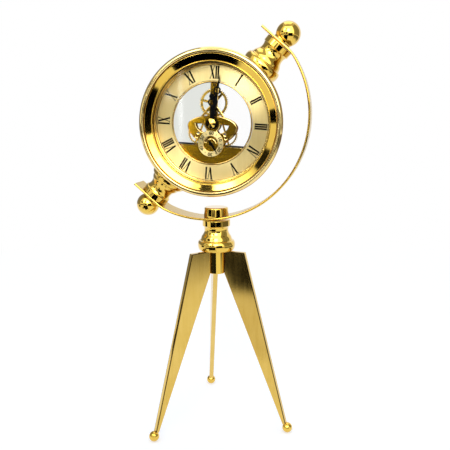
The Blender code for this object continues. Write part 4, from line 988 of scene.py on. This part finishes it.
def pierced_hand(node, outline, ring_at, front, angle):
    """Flat hand with slightly broken edges, a bore for its axis and an open ring."""
    shape = bpy.data.curves.new("hand", "CURVE")
    shape.dimensions = "2D"
    shape.fill_mode = "BOTH"
    shape.extrude = HAND_T / 2 - HAND_EASE
    shape.bevel_depth = HAND_EASE
    shape.offset = -HAND_EASE
    for loop in (outline, hole(HAND_BORE_R, 0), hole(HAND_RING_HOLE_R, ring_at)):
        spline = shape.splines.new("POLY")
        spline.points.add(len(loop) - 1)
        for point, (x, y) in zip(spline.points, loop):
            point.co = (x, y, 0, 1)
        spline.use_cyclic_u = True
    bm = bmesh.new()
    add_shape(bm, shape)
    bmesh.ops.remove_doubles(bm, verts=bm.verts, dist=MERGE)
    place = DIAL_AT @ Matrix.Rotation(-angle, 4, "Z") @ Matrix.Translation((0, 0, front - HAND_T / 2))
    finish_mesh(f"{node}_pierced", bm, place, [BLACK], f"{node}_body", replaced=[node],
                slot="black_lacquer", weighted=False)


def build_seconds_hand():
    """Tapered blade with a round boss and a short tail."""
    boss = [math.radians(degrees) for degrees in SECONDS_BOSS_DEGREES]
    right = [(SECONDS_TAIL_HALF_W, -SECONDS_TAIL), (SECONDS_NECK_HALF_W, -SECONDS_NECK_AT)]
    right += [(SECONDS_BOSS_R * math.cos(a), SECONDS_BOSS_R * math.sin(a)) for a in boss]
    right += [(SECONDS_ROOT_HALF_W, SECONDS_BOSS_R), (SECONDS_TIP_HALF_W, SECONDS_LEN)]
    bm = bmesh.new()
    prism(bm, mirrored(right), SECONDS_HAND_FRONT - HAND_T, SECONDS_HAND_FRONT)
    finish_mesh("seconds_hand_blade", bm, SECONDS_AT @ Matrix.Rotation(-SECONDS_ANGLE, 4, "Z"), [BLACK],
                "seconds_hand_body", replaced=["seconds_hand"], slot="black_lacquer", weighted=False)


pierced_hand("minute_hand", hand_outline(MINUTE_LEN, MINUTE_BOSS_R, MINUTE_WIDTHS, MINUTE_BEADS),
             MINUTE_RING_AT, MINUTE_HAND_FRONT, MINUTE_ANGLE)
pierced_hand("hour_hand", hand_outline(HOUR_LEN, HOUR_BOSS_R, HOUR_WIDTHS, HOUR_BEADS),
             HOUR_RING_AT, HOUR_HAND_FRONT, HOUR_ANGLE)
build_seconds_hand()

# Solids that stay: their names, material, edge material and edge width
WELD_DISTANCE = 0.000002
LOOKS = (
    (("main_bridge", "segment_plate"), BRASS, RIM, 0.00035),
    (("top_bridge",), BRASS, RIM, 0.00022),
    (("rear_bridge",), BRASS, EDGE, 0.0001),
    (("top_wheel", "left_wheel", "right_wheel"), WHEEL, EDGE, 0.00005),
    (("strut_screw",), GOLD, EDGE, 0.00004),
    (("rear_retaining_ring",), GOLD, EDGE, 0.0001),
    (("quartz_module",), PLASTIC, PLASTIC, 0.0003),
    (("rear_panel", "battery_cover", "setting_knob"), PLASTIC, PLASTIC, 0.0001),
    (("pillar_upper_left", "pillar_upper_right", "pillar_lower_left", "pillar_lower_right"), WHEEL, None, 0),
    (("top_wheel_stud", "hour_pipe"), GOLD, None, 0),
    (("centre_arbor", "left_arbor", "right_arbor", "seconds_arbor"), STEEL, None, 0),
    (("stud_upper", "stud_lower", "pedestal_stud", "post_screw_upper", "post_screw_lower"), STEEL, None, 0),
    (("movement_ring",), PLASTIC, None, 0),
    (("battery_cell",), WRAP, None, 0),
    (("rear_window",), REAR, None, 0),
)


def dress(item, face, edge, width):
    """Gives a solid its materials, smooth shading and broken edges."""
    item.data.materials.clear()
    item.data.materials.append(face)
    item.modifiers.new("weld", "WELD").merge_threshold = WELD_DISTANCE
    if width:
        item.data.materials.append(edge)
        bevel = item.modifiers.new("edge", "BEVEL")
        bevel.width = width
        bevel.segments = 2
        bevel.limit_method = "ANGLE"
        bevel.angle_limit = SHARP_ANGLE
        bevel.material = 1
        bevel.harden_normals = False
    item.modifiers.new("normals", "WEIGHTED_NORMAL").keep_sharp = True


for names, face, edge, width in LOOKS:
    for name in names:
        dress(nodes[name], face, edge, width)

# Floor
FLOOR_REACH = 6
FLOOR_COLOUR = (0.60, 0.64, 0.73, 1)
FLOOR_GLOW = 0.47
FLOOR_NEAR_R = 0.22
FLOOR_FAR_R = 0.75


def staged(name, mesh):
    """A piece of the set, which rides on no body."""
    item = linked(name, mesh)
    return item


def ray_share(t):
    """1 for camera, glossy and transmission rays."""
    path = t.add("ShaderNodeLightPath").outputs
    seen = t.math("MAXIMUM", path["Is Camera Ray"], path["Is Glossy Ray"])
    return t.math("MAXIMUM", seen, path["Is Transmission Ray"])


def floor_material():
    """Matt white floor. Near the object it takes a shadow, further off it is plain white."""
    t = material_tree("floor_white")
    share = ray_share(t)
    distance = t.add("ShaderNodeVectorMath", {"operation": "LENGTH"}, Vector=t.place()).outputs["Value"]
    far = t.spread(distance, 0, 1, FLOOR_NEAR_R, FLOOR_FAR_R)
    near = t.add("ShaderNodeAddShader")
    t.feed(near, 0, t.add("ShaderNodeBsdfDiffuse", Color=FLOOR_COLOUR).outputs[0])
    t.feed(near, 1, t.glow(t.math("MULTIPLY", share, FLOOR_GLOW)))
    return t.end_mixed(t.math("MULTIPLY", far, share), near.outputs[0], t.glow(share))


def build_floor():
    """Wide square sheet at the feet."""
    corners = [(-FLOOR_REACH, -FLOOR_REACH, 0), (FLOOR_REACH, -FLOOR_REACH, 0),
               (FLOOR_REACH, FLOOR_REACH, 0), (-FLOOR_REACH, FLOOR_REACH, 0)]
    mesh = bpy.data.meshes.new("floor")
    mesh.from_pydata(corners, [], [(0, 1, 2, 3)])
    mesh.materials.append(floor_material())
    staged("floor", mesh)


build_floor()

# World
WORLD_DIM = 0.75


def build_world():
    """White studio, dimmer for the light that falls on surfaces than for what is seen."""
    world = bpy.data.worlds.new("studio")
    bpy.context.scene.world = world
    t = Tree(world, "ShaderNodeOutputWorld")
    strength = t.spread(ray_share(t), WORLD_DIM, 1.0, 0.0, 1.0)
    t.end(t.add("ShaderNodeBackground", Color=(1, 1, 1, 1), Strength=strength).outputs[0])


build_world()

# Cards: curved sheets round the object that only reflections see. Azimuth 0 is in front, 90 to the right
CARD_STEPS = 16
SHARP_BORDER = 0.0001
CARDS = (
    # name, azimuths, lower or inner border, upper or outer border, value, softness, raggedness
    ("softbox", (-46, 58), (1.40, 0.52), (1.40, 2.62), 3.2, (0.08, 0.06, 0.03)),
    ("softbox_core", (-4, 27), (1.35, 0.50), (1.35, 1.50), 6.0, (0.12, 0.12, 0.25)),
    ("softbox_side", (-37, -19), (1.35, 0.90), (1.35, 1.50), 10.0, (0.25, 0.20, 0.20)),
    ("gap", (-22, -3), (1.30, 0.62), (1.30, 1.50), 0.06, (0.10, 0.08, 0.10), (0.08, 9)),
    ("softbox_right", (4, 58), (1.41, 0.20), (1.41, 0.62), 3.0, (0.12, 0.10, 0.10)),
    ("pale", (-64, -33), (1.30, 0.255), (1.30, 0.45), 1.0, (0.12, 0.10, 0.10)),
    ("dark_side", (-64, -34), (1.28, 0.50), (1.28, 0.82), 0.02, (0.08, 0.08, 0.08), (0.10, 7)),
    ("bar", (-68, -31), (1.26, 0.085), (1.26, 0.248), 0.0, (0.04, 0.06, 0.06), (0.02, 9)),
    ("mirror", (-31, 3), (1.30, 0.02), (1.30, 0.50), 0.14, (0.12, 0.15, 0.12)),
    ("left", (-152, -66), (1.42, 0.0), (1.42, 2.6), 0.27, (0.10, 0.05, 0.05)),
    ("right", (59, 126), (1.42, 0.0), (1.42, 2.6), 0.31, (0.10, 0.05, 0.05)),
    ("top", (-180, 180), (0.0, 2.7), (1.40, 2.6), 0.60, (SHARP_BORDER, SHARP_BORDER, 0.05)),
    ("camera_side", (9, 50), (0.62, 0.0), (0.62, 0.340), 0.0, (0.04, 0.06, 0.06), (0.05, 12)),
    ("low_left", (-92, -64), (0.60, 0.0), (0.60, 0.12), 0.0, (0.06, 0.10, 0.10), (0.12, 14)),
    ("floor", (-37, 6), (0.14, 0.004), (1.10, 0.004), 0.0, (0.03, 0.03, 0.04)),
    ("shield", (-34, 14), (0.128, 0.003), (0.128, 0.080), 0.85, (0.06, 0.03, 0.12)),
    ("near", (-64, -4), (0.20, 0.066), (0.20, 0.122), 0.02, (0.10, 0.12, 0.10), (0.14, 40)),
    ("floor_far", (3, 60), (0.66, 0.002), (1.40, 0.002), 0.18, (0.03, 0.20, 0.05)),
    ("floor_right", (60, 130), (0.36, 0.002), (1.40, 0.002), 0.16, (0.03, 0.25, 0.05)),
    ("stripe_a", (90.5, 93.5), (1.2, 0.1), (1.2, 0.9), 0.02, (0.2, 0.1, 0.1)),
    ("stripe_b", (116, 120), (1.2, 0.0), (1.2, 0.9), 0.02, (0.2, 0.1, 0.1)),
    ("strip_light", (-17.9, -16.9), (1.28, 0.15), (1.28, 0.42), 13.0, (0.45, 0.45, 0.3)),
    ("lamp_spot", (-19.8, -18.0), (1.28, 0.30), (1.28, 0.345), 9.0, (0.45, 0.45, 0.45)),
)


def card_material(name, value, soft, ragged):
    """A sheet of one grey whose borders fade out.

    soft is how far the sides, the lower and the upper border fade, as a share of the sheet.
    ragged is how far the borders wander and the scale of that.
    """
    t = material_tree(name)
    sheet = t.add("ShaderNodeSeparateXYZ", Vector=t.add("ShaderNodeTexCoord").outputs["UV"])
    along = sheet.outputs["X"]
    up = sheet.outputs["Y"]
    wander = t.spread(t.noise(t.place(), ragged[1]), 0, ragged[0])
    across = t.math("MINIMUM", along, t.math("SUBTRACT", 1.0, along))
    sides = t.spread(t.math("SUBTRACT", across, wander), 0, 1, 0.0, soft[0])
    below = t.spread(t.math("SUBTRACT", up, wander), 0, 1, 0.0, soft[1])
    above = t.spread(t.math("ADD", up, wander), 1, 0, 1.0 - soft[2], 1.0)
    solid = t.math("MULTIPLY", t.math("MULTIPLY", sides, below), above)
    return t.end_mixed(solid, t.clear((1, 1, 1, 1)), t.glow(value))


def card(name, azimuths, inner, outer, value, soft, ragged=(0.0, 1)):
    """A curved sheet between two azimuths. Its borders are (radius, height)."""
    bm = bmesh.new()
    layer = bm.loops.layers.uv.new("sheet")
    rows = []
    for step in range(CARD_STEPS + 1):
        a = math.radians(azimuths[0] + (azimuths[1] - azimuths[0]) * step / CARD_STEPS)
        rows.append([bm.verts.new((r * math.sin(a), -r * math.cos(a), z)) for r, z in (inner, outer)])
    for step in range(CARD_STEPS):
        near, far = rows[step], rows[step + 1]
        face = bm.faces.new((near[0], far[0], far[1], near[1]))
        places = ((step, 0), (step + 1, 0), (step + 1, 1), (step, 1))
        for loop, (u, v) in zip(face.loops, places):
            loop[layer].uv = (u / CARD_STEPS, v)
    mesh = mesh_of(name, bm)
    mesh.materials.append(card_material(name, value, soft, ragged))
    item = staged(name, mesh)
    item.visible_camera = False
    item.visible_diffuse = False
    item.visible_shadow = False
    item.visible_transmission = False
    item.visible_volume_scatter = False


for name, *placing in CARDS:
    card(f"card_{name}", *placing)


# Lights
def area(name, place, target, width, height, radiance):
    """A soft box of even radiance."""
    lamp = bpy.data.lights.new(name, "AREA")
    lamp.shape = "RECTANGLE"
    lamp.size = width
    lamp.size_y = height
    lamp.energy = radiance * math.pi * width * height
    item = linked(name, lamp)
    item.location = place
    item.rotation_mode = "QUATERNION"
    item.rotation_quaternion = (Vector(target) - Vector(place)).to_track_quat("-Z", "Y")


area("key", place=(0.10, -0.97, 0.74), target=(0, 0, 0.2), width=0.52, height=0.46, radiance=3.2)
area("top", place=(0.0, 0.25, 1.25), target=(0, 0, 0.1), width=0.7, height=0.7, radiance=1.2)

# Camera
EYE = (0.095723, -0.434663, 0.24986)
AZIMUTH = math.radians(12.08)
ELEVATION = math.radians(10.62)
CAMERA_ROLL = math.radians(-0.23)
LENS = 44.34


def build_camera():
    """Camera at the height of the dial, to its right, looking down."""
    data = bpy.data.cameras.new("camera")
    data.sensor_width = 36
    data.lens = LENS
    data.clip_start = 0.02
    data.clip_end = 50
    camera = linked("camera", data)
    camera.matrix_world = (
        Matrix.Translation(EYE) @ Matrix.Rotation(AZIMUTH, 4, "Z")
        @ Matrix.Rotation(math.pi / 2 - ELEVATION, 4, "X") @ Matrix.Rotation(CAMERA_ROLL, 4, "Z"))
    bpy.context.scene.camera = camera


build_camera()
bpy.context.scene.view_settings.view_transform = "Standard"
